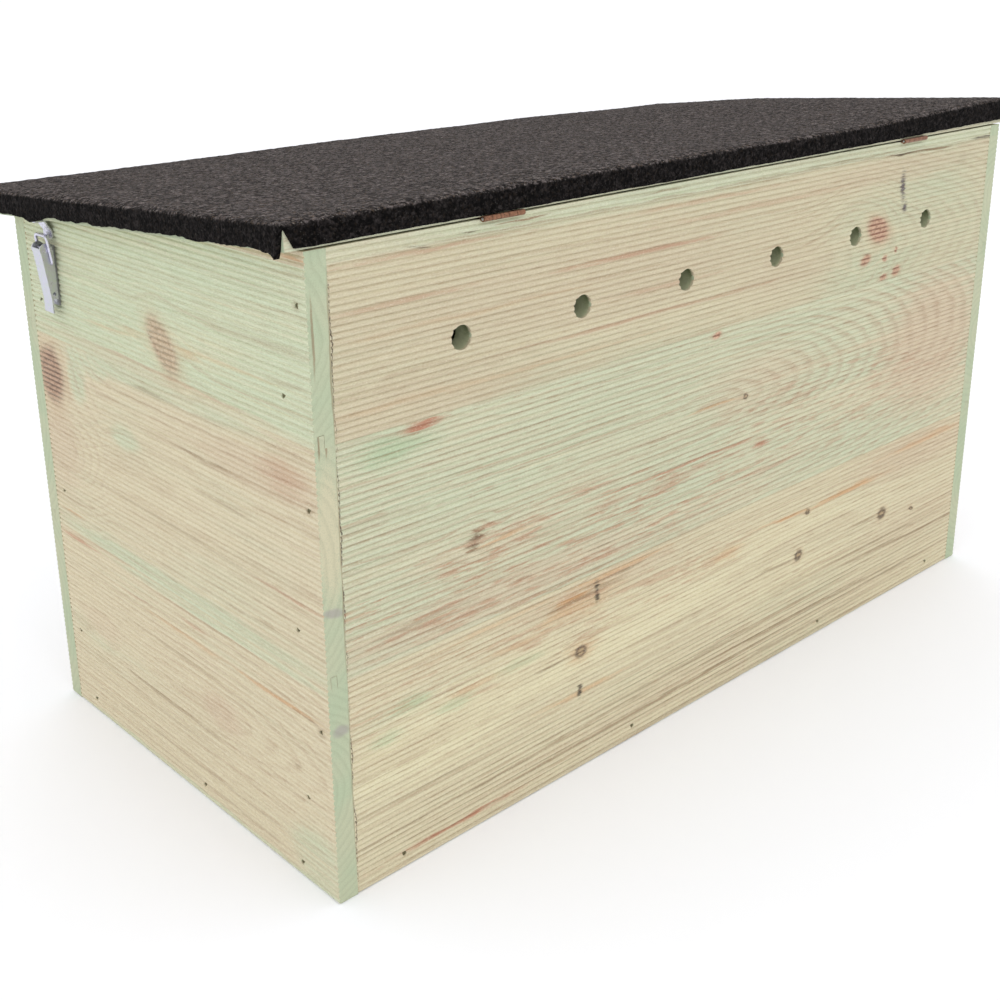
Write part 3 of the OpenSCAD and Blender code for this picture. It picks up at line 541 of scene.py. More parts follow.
class BackWall(bpy.types.Operator):
    """Timber of the vented back wall, with its knots, streaks and green patches"""

    bl_idname = "hedgehog.back_wall"
    bl_label = "Back wall timber"

    def execute(self, context):
        p = context.scene.hh_timber
        face = (1, BACK, 1.0)
        put("back_board_vented", timber(
            "timber_back_vented", p, 0, face, seed=2.0, green=0.08, vents=VENT_HEIGHT, pith=(316, 10),
            taper=(box_u(470), 0.28), ribs=0.6, cast=(0.93, 0.945, 0.93),
            knots=[(534, 332.5, 17, 10.5, -22, 1), (519.7, 311.2, 7.5, 4.5, 15, 0.9),
                   (564.5, 296, 6.5, 4.5, 25, 0.9), (545.6, 307.6, 3.2, 2.6, 0, 0.6),
                   (561, 312.4, 2.2, 2.2, 0, 0.5), (545.6, 292.6, 5, 2.6, 15, 0.7)],
            swirls=[(508, 322, 24, 26, 0, 0.7)],
            streaks={
                BROWN: [(534, 332, 9, 2.2, -22, 0.5), (537, 328.5, 7, 1.4, -18, 0.5),
                        (583, 388, 64, 0.9, -1.1, 0.9), (650, 374, 7, 6, 0, 0.16)],
                # the first dark streak, at 14.5, is painted shadow cast by the ends of the grooves at the
                # corner
                DARK: [(14.5, 340, 0.5, 46, 0, 0.9), (77, 388.6, 11, 0.6, -6, 0.5),
                       (682, 388.8, 26, 0.8, -1, 0.9), (560, 388.6, 20, 0.7, -1, 0.8)],
                PURPLE: [(563.5, 362, 3.8, 11, 6, 0.95), (569, 345.4, 3.4, 3.6, 0, 0.95)],
                RED: [(257, 357.5, 75, 2, 0, 0.55), (278, 331.5, 55, 1.6, 0, 0.35),
                      (271, 315, 140, 1.3, 0, 0.45), (70, 361, 60, 1.6, 0, 0.4),
                      (84, 386.6, 70, 1.3, 0, 0.4), (380, 372, 110, 2.4, 0, 0.28),
                      (330, 383, 90, 1.4, 0, 0.3)],
                ORANGE: [(170, 302, 120, 1.5, 0, 0.25), (60, 304, 60, 2.2, 0, 0.2),
                         (110, 345, 90, 1.5, 0, 0.2)]},
            zones={
                "green": [(590, 330, 140, 70, 0, 0.45), (350, 389, 420, 4, 0, 0.35)],
                "tan": [(90, 300, 110, 16, 0, 0.4), (210, 345, 200, 26, 0, 0.45),
                        (420, 320, 70, 16, 0, 0.4), (560, 376, 120, 9, 0, 0.5)]}))
        put("back_top_strip", timber(
            "timber_back_strip", p, 0, face, seed=5.0, green=0.8, pith=(380, 60), lines=0.6, ribs=0.4,
            streaks={
                BROWN: [(320, 389.6, 360, 0.9, 0, 0.55), (158, 393.3, 20, 0.9, 0, 0.9),
                        (274, 394.2, 24, 0.7, 0, 0.6), (500, 391, 60, 0.7, 0, 0.5)],
                DARK: [(77, 389.8, 11, 0.6, -6, 0.5), (112, 392, 7, 0.6, 0, 0.7),
                       (682, 390, 26, 0.8, -1, 0.9)]}))
        put("back_board_middle", timber(
            "timber_back_middle", p, 0, face, seed=11.0, green=0.74, pith=(235, 5), taper=(box_u(352), 0.27),
            ribs=0.8, bands=1.7,
            knots=[(339, 286.6, 4.5, 2.4, 10, 0.7)],
            dark_knots=[(376, 234, 3.4, 2.6, 0, 0.9)], swirls=[(113.5, 203.2, 12, 8, 30, 0.8)],
            streaks={
                # the first dark streak, at 14.5, is painted shadow cast by the ends of the grooves at the
                # corner
                DARK: [(14.5, 217, 0.5, 72, 0, 0.9), (113.5, 203, 5, 4, 0, 0.45)],
                RED: [(74, 286.4, 16, 3.2, 2, 0.95), (122, 209, 9, 1.6, 0, 0.5),
                      (310, 198.8, 95, 1, 0, 0.7), (218, 208, 24, 1.1, 0, 0.5),
                      (392, 208, 9, 1.1, 0, 0.5), (430, 199, 11, 1.1, 0, 0.5),
                      (232, 192, 28, 1.6, 0, 0.45), (310, 192, 60, 2.2, 0, 0.3),
                      (397, 191.5, 10, 2.4, 0, 0.8), (300, 156, 130, 1.4, 0, 0.3),
                      (80, 178, 60, 1.2, 0, 0.3), (420, 170, 60, 1.6, 0, 0.35)],
                BROWN: [(116, 207.9, 6, 1.3, 0, 1), (114.5, 204.3, 7.5, 1.4, 0, 1),
                        (112.5, 200.7, 7.5, 1.4, 0, 1), (110, 197.1, 5, 1.2, 0, 0.9),
                        (65, 165, 45, 1.2, 0, 0.5), (152, 164, 9, 1.2, 0, 0.6),
                        (228, 163, 14, 1.2, 0, 0.5), (60, 161, 40, 1, 0, 0.4)],
                ORANGE: [(136, 198, 22, 1.8, 2, 0.55), (345, 234.6, 34, 1, 0, 0.5)],
                MOSS: [(54, 277.6, 26, 9, 0, 0.62)]},
            zones={
                "green": [(52, 277, 36, 12, 0, 1), (640, 287, 90, 14, 0, 0.9)],
                "tan": [(630, 228, 78, 62, 0, 0.9), (130, 160, 160, 14, 0, 0.55),
                        (120, 196, 60, 10, 0, 0.4), (390, 240, 60, 26, 0, 0.35)],
                "dashed": [(180, 178, 230, 34, 0, 0.85), (480, 205, 170, 40, 0, 0.55)]}))
        put("back_board_bottom", timber(
            "timber_back_bottom", p, 0, face, seed=23.0, green=0.02, pith=(88, 26), ring=5.0, lines=1.25,
            ribs=0.85, cast=(1.01, 1.03, 1.01),
            dark_knots=[(206, 91, 6.2, 5, 10, 1), (464, 116.6, 3.6, 3, 0, 0.9),
                        (455, 81.6, 5, 5.4, -20, 1), (575.5, 82, 7, 6, 12, 1),
                        (623, 72.6, 4, 2.4, -20, 0.8)],
            swirls=[(221, 131, 5, 7, 0, 0.8), (206, 61.5, 4, 5, 0, 0.8)],
            streaks={
                # the first dark streak, at 14.5, is painted shadow cast by the ends of the grooves at the
                # corner; the others are dark marks of the wood
                DARK: [(14.5, 75, 0.5, 68, 0, 0.8), (221.3, 131, 2.4, 7.5, 4, 1),
                       (206, 61.5, 2.1, 4.6, 6, 1)],
                ORANGE: [(207, 128, 40, 13, 0, 0.3), (235, 140, 50, 2.6, 1, 0.55),
                         (150, 118, 30, 3, 0, 0.35), (110, 104, 24, 2, 0, 0.35),
                         (200, 133, 20, 3.4, 2, 0.9), (194, 126, 28, 6, 0, 0.5),
                         (206, 91, 16, 9, 0, 0.35), (208, 60, 42, 2, 0, 0.5), (363, 113, 18, 4.5, 0, 0.5),
                         (433, 119.6, 34, 1.6, -2, 0.8), (520, 118.6, 56, 2.6, 1, 0.75),
                         (640, 134, 60, 3.4, 1, 0.45), (120, 139, 70, 1.5, 1, 0.35)],
                BROWN: [(240, 137.5, 40, 1.2, 1, 0.6), (208, 132, 42, 2, 1, 0.7),
                        (186, 91, 24, 1.4, 0, 0.7), (424, 81, 36, 1.3, 0, 0.65),
                        (548, 82.4, 28, 1.4, 0, 0.6), (260, 20, 170, 1.3, 0.4, 0.75),
                        (440, 28, 150, 1.4, -0.4, 0.7), (620, 48, 110, 1.6, -1.5, 0.65),
                        (560, 58, 160, 1.3, -1, 0.5), (130, 30, 130, 1.4, 0.6, 0.6),
                        (330, 38, 160, 1.2, 0.5, 0.5), (460, 12, 160, 1.5, 0, 0.45),
                        (600, 22, 110, 1.6, 0, 0.5), (70, 50, 60, 1.2, 0, 0.35),
                        (350, 3, 340, 2.4, 0, 0.35)],
                MOSS: [(60, 112, 16, 5, 0, 0.45), (95, 98, 20, 4, 0, 0.35), (40, 96, 14, 4, 0, 0.4),
                       (150, 104, 24, 4, 0, 0.3)],
                RED: [(95, 10.6, 60, 1.8, 0, 0.95)]},
            zones={
                "cream": [(200, 92, 190, 22, 0, 0.8), (80, 82, 80, 30, 0, 0.8), (430, 70, 90, 18, 0, 0.5),
                          (360, 108, 200, 14, 0, 0.5)],
                "dashed": [(190, 116, 220, 24, 0, 0.6)],
                "deep": [(350, 30, 340, 24, 0, 0.75)],
                "tan": [(620, 128, 100, 20, 0, 0.9), (400, 22, 300, 14, 0, 0.35),
                        (230, 136, 90, 9, 0, 0.6), (640, 60, 80, 26, 0, 0.4)],
                "green": [(70, 110, 60, 14, 0, 0.35)]}))
        return {"FINISHED"}


class EndWalls(bpy.types.Operator):
    """Timber of the two end walls"""

    bl_idname = "hedgehog.end_walls"
    bl_label = "End wall timber"

    def execute(self, context):
        p = context.scene.hh_timber
        face = (0, LEFT, 1.0)
        put("left_end_board_top", timber(
            "timber_left_top", p, 1, face, seed=31.0, green=0.95, pith=(352, 36), ribs=-0.35,
            cast=(0.99, 1.02, 1.01), lines=0.85, bands=0.75,
            knots=[(153.5, 315.5, 22, 12, 45, 0.8)], knot_tones=DULL_KNOT,
            streaks={
                PURPLE: [(161, 312, 13, 1.6, 47, 0.95)],
                ORANGE: [(125, 317, 14, 3, 0, 0.35), (190, 317, 20, 3, 0, 0.25),
                         (80, 320, 50, 1.4, 0, 0.25), (215, 314, 50, 1.3, -2, 0.3)],
                RED: [(160, 297, 120, 1.4, 1, 0.3)],
                BROWN: [(30, 342, 40, 1.4, 0, 0.28), (20, 322, 26, 1.8, 0, 0.3), (10, 368, 4, 3, 0, 0.4)]},
            ends={
                # the brown line at 13.6 is painted shadow at the seam with the back boards
                BROWN: [(3, 352, 0.9, 22, 0, 0.7), (13.6, 335, 0.7, 50, 0, 0.6)]},
            zones={
                "tan": [(150, 293, 200, 5, 1, 0.45)],
                "green": [(250, 345, 120, 30, 0, 0.3), (35, 335, 9, 30, 0, 0.6),
                          (120, 303, 26, 6, 0, 0.5)]}))
        put("left_end_top_strip", timber(
            "timber_left_strip", p, 1, face, seed=33.0, green=0.25, pith=(380, 60), ribs=-0.3,
            streaks={
                ORANGE: [(9, 393, 14, 1.2, 0, 0.6)]}))
        put("left_end_board_middle", timber(
            "timber_left_middle", p, 1, face, seed=38.0, green=0.10, pith=(226, 28),
            taper=(box_y(297), -0.5, 25), ribs=-0.2, cast=(0.985, 0.99, 0.99),
            knots=[(314, 262, 18, 22, 0, 1)], knot_tones=BIG_KNOT,
            swirls=[(280, 265, 26, 30, 0, 0.5)],
            streaks={
                BROWN: [(175, 281, 26, 1.3, 0, 0.5), (115, 253, 36, 1.4, 1, 0.5),
                        (95, 230, 36, 1.4, 1, 0.5), (60, 165, 12, 1.5, 0, 0.4),
                        (150, 195, 130, 1.4, 1, 0.3), (8, 253, 4, 3, 0, 0.4)],
                RED: [(38, 192, 42, 1.3, 0, 0.5), (30, 268, 25, 12, 0, 0.3)],
                ORANGE: [(305, 160, 16, 1.4, 0, 0.5)]},
            ends={
                BEIGE_END: [(7, 240, 9, 44, 0, 1)],
                MAUVE: [(7, 192, 8, 3, -14, 0.8)],
                # the brown line at 13.7 is painted shadow at the seam with the back boards; the others are
                # marks of the wood
                BROWN: [(3, 292, 0.8, 8, 0, 0.8), (7.5, 290, 0.8, 6, 0, 0.7),
                        (13.7, 215, 0.6, 70, 0, 0.5)]},
            zones={
                "green": [(150, 150, 160, 7, 0, 0.6), (170, 285, 130, 7, 0, 0.6),
                          (215, 240, 20, 9, 0, 0.5), (250, 280, 18, 9, 0, 0.5),
                          (276, 268, 14, 20, 0, 0.7)],
                "tan": [(60, 262, 70, 14, 0, 0.6), (312, 212, 30, 34, 0, 0.7)]}))
        put("left_end_board_bottom", timber(
            "timber_left_bottom", p, 1, face, seed=44.0, green=0.06, pith=(78, 8),
            taper=(box_y(120), -0.2), ring=5.0, ribs=-0.15, lines=1.1,
            streaks={
                ORANGE: [(52, 118.6, 50, 1.3, 0, 0.6), (150, 119, 52, 1.6, 0, 0.35)],
                BROWN: [(18, 118, 14, 1, 0, 0.7), (170, 101, 85, 1.4, 1, 0.35),
                        (180, 57, 92, 1.5, 1.5, 0.5), (190, 45, 60, 1.3, 0, 0.3),
                        (170, 23, 150, 1.3, 0, 0.35), (130, 12, 110, 1.2, 0, 0.25),
                        (10, 114.7, 4, 3, 0, 0.4), (36, 79, 4, 2, 0, 0.4)],
                RED: [(300, 140, 32, 1.3, 0, 0.6), (145, 130, 16, 1.2, 0, 0.35),
                      (220, 124, 32, 1.3, 0, 0.35)]},
            swirls=[(280, 80, 20, 12, 0, 0.6)],
            ends={
                MAUVE: [(8, 116, 6, 3.5, -14, 0.8)],
                # the brown line at 13.7 is painted shadow at the seam with the back boards
                BROWN: [(13.7, 80, 0.6, 60, 0, 0.4)]},
            zones={
                "green": [(120, 142, 150, 3.5, 0, 0.6), (170, 1, 220, 3, 0, 0.8),
                          (20, 20, 30, 24, 0, 0.5)],
                "tan": [(120, 78, 25, 14, 0, 0.8), (280, 80, 30, 12, 0, 0.5)]}))
        face = (0, -LEFT, -1.0)
        specs = (("top", 57.0, 0.6, 340, [(210, 330, 9, 7, 10, 0.9)]),
                 ("middle", 63.0, 0.25, 215, [(90, 205, 11, 8, -14, 0.9), (250, 250, 4, 4, 0, 0.8)]),
                 ("bottom", 69.0, 0.12, 70, [(260, 60, 8, 6, 0, 0.9)]))
        for part, seed, green, mid, knots in specs:
            put(f"right_end_board_{part}", timber(
                f"timber_right_{part}", p, 1, face, seed=seed, green=green, pith=(mid, 12),
                taper=(box_y(180), 0.25), knots=knots, ribs=0.4))
        put("right_end_top_strip", timber(
            "timber_right_strip", p, 1, face, seed=75.0, green=0.3, pith=(380, 60), ribs=0.4))
        return {"FINISHED"}


class FrontWall(bpy.types.Operator):
    """Timber of the front wall round the entrance"""

    bl_idname = "hedgehog.front_wall"
    bl_label = "Front wall timber"

    def execute(self, context):
        p = context.scene.hh_timber
        face = (1, FRONT, -1.0)
        specs = (("bottom", 81.0, 0.1, 70, [(233, 82, 9, 7, 12, 1), (450, 60, 4, 4, 0, 0.8)]),
                 ("middle", 87.0, 0.65, 230, [(393, 240, 12, 8, -10, 0.9), (173, 190, 5, 4, 0, 0.8)]),
                 ("top", 93.0, 0.3, 320, [(543, 325, 8, 6, 0, 0.9), (293, 345, 4, 3, 0, 0.8)]))
        for part, seed, green, mid, knots in specs:
            put(f"front_board_{part}", timber(
                f"timber_front_{part}", p, 0, face, seed=seed, green=green, pith=(mid, 14),
                taper=(-40, -0.2), knots=knots,
                streaks={
                    BROWN: [(300, mid + 20, 120, 1.5, 0, 0.5)],
                    RED: [(520, mid - 25, 110, 1.4, 0, 0.4)]}))
        return {"FINISHED"}


class InnerTimber(bpy.types.Operator):
    """Timber of the floor, posts, partition, lid boards and battens"""

    bl_idname = "hedgehog.inner_timber"
    bl_label = "Inner timber"

    def execute(self, context):
        p = context.scene.hh_timber

        def dress(names, run, seed, green, pith, lines=0.9):
            """Timber for plain boards; pith gives the pith line's place from the board's middle, in mm."""
            for i, n in enumerate(names):
                lo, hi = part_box(n)
                place = pith((lo + hi) * 500)
                put(n, timber("timber_" + n, p, run, seed=seed + 7 * i, green=green, pith=place, lines=lines))

        dress([f"floor_board_{i}" for i in range(1, 6)], 1, 100.0, 0.10, lambda m: (m.z - 30, -m.x))
        dress(["partition_board_bottom", "partition_board_top"],
              1, 140.0, 0.2, lambda m: (m.z + 10, 24 - m.x))
        dress(["lid_batten_left", "lid_batten_right"], 1, 155.0, 0.2, lambda m: (m.z - 26, 10 - m.x))
        dress(["corner_post_back_left", "corner_post_back_right", "corner_post_front_left",
               "corner_post_front_right", "partition_cleat_back", "partition_cleat_front"],
              2, 170.0, 0.25, lambda m: (m.x + 22, 18 - m.y))
        dress(["lid_board_back", "lid_board_middle", "lid_board_front"],
              0, 220.0, 0.75, lambda m: (m.z - 46, 12 - m.y))
        return {"FINISHED"}


# the lid, in mm: height of its underside over the back and the front, its depth down the slope, and the
# thickness of its boards and of the felt
LID_Z0, LID_Z1 = 399.2, 371.3
LID_SLOPE = math.atan((LID_Z0 - LID_Z1) / (FRONT - BACK))
LID_DEPTH, BOARD, FELT = 390.0, 14.0, 2.2
# how far the felt's top falls at its edges, and over what width
EDGE_DROP, ROUNDING = 1.1, 9.0
# the hem of the felt below its top, and where along an end it hangs lower over the latch's strike
END_HEM, LONG_HEM, STRIKE_HEM = 14.6, 14.7, 3.8
STRIKE_AT, STRIKE_WIDTH = 290.0, 11.0
# share of a skirt's grid that is the arc of its fold, the rows in each part, and the step along the edge
FOLD, SKIRT_ROWS, SKIRT_STEP = 0.25, 7, 2.0
# width of the corner's flap and of the slit beside it
FLAP, SLIT = 9.0, 24.0


def lid_point(x, v, w):
    """A place on the lid: x, v down the slope from the back edge and w square to it, all in mm, as metres."""
    c, s = math.cos(LID_SLOPE), math.sin(LID_SLOPE)
    y = box_y(v * c + w * s)
    z = LID_Z0 - v * s + w * c
    return np.stack([x * MM, y * MM, z * MM], axis=-1)


def soft_step(x, a, b):
    """0 before a, 1 after b, and 3t^2-2t^3 between them."""
    t = np.clip((x - a) / (b - a), 0, 1)
    return t * t * (3 - 2 * t)


def value_noise(x, y, seed):
    """Smooth noise from 0 to 1 at x, y: hashed corner values of a unit grid, blended by 3t^2-2t^3."""
    xi, yi = np.floor(x), np.floor(y)
    fx, fy = x - xi, y - yi
    fx, fy = fx * fx * (3 - 2 * fx), fy * fy * (3 - 2 * fy)

    def corner(a, b):
        h = np.sin(a * 127.1 + b * 311.7 + seed * 74.7) * 43758.5453
        return h - np.floor(h)

    top = corner(xi, yi) * (1 - fx) + corner(xi + 1, yi) * fx
    low = corner(xi, yi + 1) * (1 - fx) + corner(xi + 1, yi + 1) * fx
    return top * (1 - fy) + low * fy


def wander(x, seed, size):
    """Value noise along one line, from -0.5 to 0.5, with waves of a given size."""
    return value_noise(x / size, x * 0, seed) - 0.5


def granules(x, v, seed=1):
    """Small bumps of the felt's grit, in mm."""
    return (value_noise(x / 1.7, v / 1.7, seed) - 0.5) * 0.6


def felt_top(x, v, bulge):
    """Level of the felt's outer face: raised along the right end, less so far back, with small waves."""
    right = soft_step(x, 140, 340)
    rise = bulge * right * (1 - 1.33 * soft_step(v, 240, 400))
    far = (1.0 + 1.0 * soft_step(x, -220, -60)) * np.clip(v / LID_DEPTH, 0, 1) ** 1.5 * (1 - 0.6 * right)
    waves = (value_noise(x / 90 + 3, v / 70, 4) - 0.5) * 0.6 + (value_noise(x / 30, v / 26, 9) - 0.5) * 0.3
    return BOARD + FELT + rise + far + waves * 0.7 - 0.3


def skirt(along, side, end, half, bulge, ragged):
    """Outer and inner grid of one skirt: a quarter arc over the fold, then straight down with a little flare
    and a ragged foot, slit at the corners. along: places along the edge; side: -1 or 1; end: True for the
    short edges; half: half the lid's length; t runs from 0 at the fold to 1 at the foot."""
    arc = np.linspace(0, 1, SKIRT_ROWS)
    s, t = np.meshgrid(along, np.concatenate([arc * FOLD, FOLD + (1 - FOLD) * arc[1:]]), indexing="ij")
    seed = (3 if end else 1) + side
    rag = wander(s, seed, 7.0) * 1.3 + wander(s, seed + 5, 2.1) * 0.8
    rag = rag * ragged + wander(s, seed + 9, 60.0) * 1.2
    if end:
        flap = np.clip(1 - s / FLAP, 0, 1)
        over_strike = STRIKE_HEM * np.exp(-((s - STRIKE_AT) / STRIKE_WIDTH) ** 2)
        full = END_HEM + 2.6 * (1 - soft_step(s, 5, 34)) + 1.2 * flap + over_strike
        foot = full + np.clip(rag, -1.6, 1.3)
    else:
        flap = np.zeros_like(s)
        full = LONG_HEM
        foot = full + np.clip(rag * 0.3, -0.45, 0.35)
    opened = (0.30 if end else 0.52) * np.clip(t - 0.30, 0, 1) * foot
    closed = 1.4 * np.sin(np.clip(t / 0.34, 0, 1) * math.pi)
    near_start = np.clip(1 - s / SLIT, 0, 1)
    near_stop = np.clip(1 - (along[-1] - s) / SLIT, 0, 1)
    s2 = s + (opened - closed) * near_start - (opened - closed) * near_stop
    if end:
        px, pv = np.full_like(s2, side * half), s2
    else:
        px, pv = s2 - half, np.full_like(s2, 0.0 if side < 0 else LID_DEPTH)
    level = felt_top(px, pv, bulge) - EDGE_DROP
    lift = np.maximum(level - BOARD - FELT + EDGE_DROP, 0.0)
    turn = np.clip(t / FOLD, 0, 1) * math.pi / 2
    hang = foot - EDGE_DROP + lift * 0.65 - FELT
    down = np.where(t < FOLD, FELT * (1 - np.cos(turn)), FELT + hang * (t - FOLD) / (1 - FOLD))
    wave = (value_noise(s / 45.0, t * 1.2, seed + 13) - 0.5) * 0.9 * t
    grit = granules(s, t * full, seed + 2) * np.clip(t / FOLD, 0, 1)
    flare = 2.2 * flap * t * t
    out = np.clip(FELT * np.sin(turn) + np.where(t < FOLD, 0, wave) + grit, 0.0, 2.9) + flare
    inner_out = 0.02 + np.clip(flare - 1.5, 0, 3)
    across, ahead = (side, 0) if end else (0, side)
    outer = lid_point(px + across * out, pv + ahead * out, level - down)
    inner = lid_point(px + across * inner_out, pv + ahead * inner_out, np.minimum(level - down, BOARD))
    return outer, inner


def grid_faces(rows, cols, start=0, flip=False):
    """The four-sided faces of a grid: corner i of a row joined to i + 1 and to both below it."""
    i = np.arange(rows - 1)[:, None] * cols + np.arange(cols - 1)[None, :] + start
    quads = np.stack([i, i + 1, i + cols + 1, i + cols], axis=-1).reshape(-1, 4)
    return quads[:, ::-1] if flip else quads


class Shell:
    """Places and four-sided faces of closed sheets, gathered one after another."""

    def __init__(self):
        self.verts, self.faces = [], []

    def add(self, outer, inner, flip):
        """One sheet from its outer and its inner grid, joined round the rim."""
        rows, cols = outer.shape[:2]
        n = rows * cols
        base = sum(len(v) for v in self.verts)
        along, down = np.arange(cols - 1), np.arange(rows - 1) * cols
        rim = base + np.concatenate([along, down + cols - 1, n - 1 - along, n - cols - down])
        after = np.roll(rim, -1)
        a, b = (rim, after) if flip else (after, rim)
        self.verts += [outer.reshape(-1, 3), inner.reshape(-1, 3)]
        self.faces += [grid_faces(rows, cols, base, flip), grid_faces(rows, cols, base + n, not flip),
                       np.stack([a, b, b + n, a + n], axis=-1)]

    def build(self, name):
        """A smooth mesh object at the origin, its places in metres."""
        me = bpy.data.meshes.new(name)
        me.from_pydata(np.concatenate(self.verts).tolist(), [], np.concatenate(self.faces).tolist())
        me.validate()
        me.polygons.foreach_set("use_smooth", [True] * len(me.polygons))
        me.update()
        ob = bpy.data.objects.new(name, me)
        bpy.context.scene.collection.objects.link(ob)
        return ob


def felt_material(p):
    """Mineral felt: near-black granules of three sizes, brown and pale ones among them, on a faint cloud,
    with painted shade that darkens it the further its face turns from up, most on the skirts.
    """
    g = Graph("roofing_felt_granules")
    mm = g.vec("MULTIPLY", g.coords(), (1000.0, 1000.0, 1000.0))
    patch, coarse, small = (g.split(g.voronoi(mm, scale)) for scale in (0.5, 0.9, 1.5))
    clump = g.noise(mm, 0.22, 3.0, 0.7)
    cloud = g.noise(mm, 0.010, 3.0, 0.6)
    bright = g.plus(g.times(coarse[0], 0.34), g.times(small[0], 0.16))
    bright = g.plus(bright, g.times(patch[0], 0.50))
    bright = g.plus(bright, g.times(g.minus(clump, 0.5), 1.1))

    def top(share):
        return tuple(c * share for c in p.top)

    g.col = g.ramp(bright, [(0.0, top(0.08)), (0.35, top(0.34)), (0.6, top(1.15)), (1.0, top(4.2))])
    g.lay(top(1.2), g.span(cloud, 0.35, 0.70), 0.15)
    g.lay(BROWN_GRANULE, g.span(coarse[1], 0.86, 0.92), 0.45)
    g.lay(p.speck, g.span(small[1], 0.974, 0.984), 0.55)
    # painted shade: the felt is darkened the further its face turns from up, most on the skirts
    shade = g.span(g.split(g.coords("Normal"))[2], 0.1, 0.95, 0.14, 1.0)
    g.lay(g.join(shade, shade, shade), 1.0, blend="MULTIPLY")
    g.link(g.col, g.shader.inputs["Base Color"])
    g.shader.inputs["Roughness"].default_value = 0.9
    g.shader.inputs["Specular IOR Level"].default_value = 0.06
    height = g.plus(g.times(g.voronoi(mm, 0.55, "Distance"), -0.8), g.times(clump, 0.9))
    g.link(g.bump(height, 1.1 * MM, 1.0), g.shader.inputs["Normal"])
    return g.mat


class RoofingFelt(bpy.types.Operator):
    """The felt: one sheet carried over rounded folds into four skirts, slit at the corners"""

    bl_idname = "hedgehog.roofing_felt"
    bl_label = "Roofing felt"

    def execute(self, context):
        p = context.scene.hh_felt
        step, bulge, ragged = p.step / MM, p.bulge / MM, p.ragged / MM
        half = face_of("lid_board_back", 1, 0)
        xs = np.linspace(-half, half, round(2 * half / step) + 1)
        vs = np.linspace(0, LID_DEPTH, round(LID_DEPTH / step) + 1)
        x, v = np.meshgrid(xs, vs, indexing="ij")
        near = np.minimum(np.minimum(x + half, half - x), np.minimum(v, LID_DEPTH - v))
        w = felt_top(x, v, bulge) + granules(x, v) - EDGE_DROP * np.clip(1 - near / ROUNDING, 0, 1) ** 2
        felt = Shell()
        felt.add(lid_point(x, v, w), lid_point(x, v, np.full_like(w, BOARD)), False)
        for side in (-1, 1):
            for end, size in ((False, 2 * half), (True, LID_DEPTH)):
                along = np.linspace(0, size, int(size / SKIRT_STEP))
                felt.add(*skirt(along, side, end, half, bulge, ragged), (side > 0) != end)
        ob = felt.build("felt_sheet")
        ob.data.materials.append(felt_material(p))
        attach(ob, "lid")
        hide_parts("roofing_felt")
        return {"FINISHED"}


def metal(name, color, rough, tint=None, scratch=0.3, spots=0.0):
    """Plated sheet metal: a brushed grain, small dull patches, and roughness that follows them."""
    g = Graph(name)
    mm = g.vec("MULTIPLY", g.coords(), (1000.0, 1000.0, 1000.0))
    cloud = g.noise(mm, 0.45, 4.0, 0.65)
    brush = g.noise(g.vec("MULTIPLY", mm, (1.0, 4.0, 0.25)), 2.0, 3.0, 0.6)
    g.col = g.mix(g.times(g.span(cloud, 0.35, 0.7), 0.6), color, tint or [c * 0.7 for c in color])
    g.lay([min(1.0, c * 1.35) for c in color], g.span(brush, 0.5, 0.8), scratch)
    if spots:
        g.lay(RUST, g.span(g.noise(mm, 0.9, 2.0), 0.55, 0.66), spots)
    g.link(g.col, g.shader.inputs["Base Color"])
    g.shader.inputs["Metallic"].default_value = 0.9
    g.link(g.span(cloud, 0.3, 0.8, rough * 0.8, rough * 1.3), g.shader.inputs["Roughness"])
    height = g.plus(cloud, g.times(brush, 0.4))
    g.link(g.bump(height, 0.08 * MM, 0.6), g.shader.inputs["Normal"])
    return g.mat


class Hardware(bpy.types.Operator):
    """Metals of the hinges, latches, screws and nails"""

    bl_idname = "hedgehog.hardware"
    bl_label = "Hardware"

    def execute(self, context):
        p = context.scene.hh_metal
        # the greenish tint, laid in patches, is a painted reflection of the green wood in the zinc
        zinc = metal("zinc_plate", p.zinc, 0.34, tint=tone(196, 206, 190))
        # a darker copy of the zinc for the latch's base plate: painted shade from the lever over it
        dull = metal("zinc_painted_shade", [c * 0.62 for c in p.zinc], 0.38, tint=tone(116, 118, 112))
        bright = metal("zinc_bright", [min(1.0, c * 1.15) for c in p.zinc], 0.26)
        brass = metal("brassed_plate", p.brassed, 0.32, tint=tone(84, 60, 48), spots=0.75)
        nail = metal("nail_steel", p.nail, 0.55, spots=0.4)
        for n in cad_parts:
            if n == "wall_nails":
                put(n, nail)
            elif "hinge" in n:
                put(n, bright if n.endswith("pin") else brass)
            elif "latch" in n:
                # the base plate takes the darker zinc, which is painted shade; the other latch plates take
                # the plain zinc
                lever_or_base_zinc = dull if n.endswith("base") else zinc
                put(n, bright if n.endswith(("loop", "strike", "rivet")) else lever_or_base_zinc)
        return {"FINISHED"}


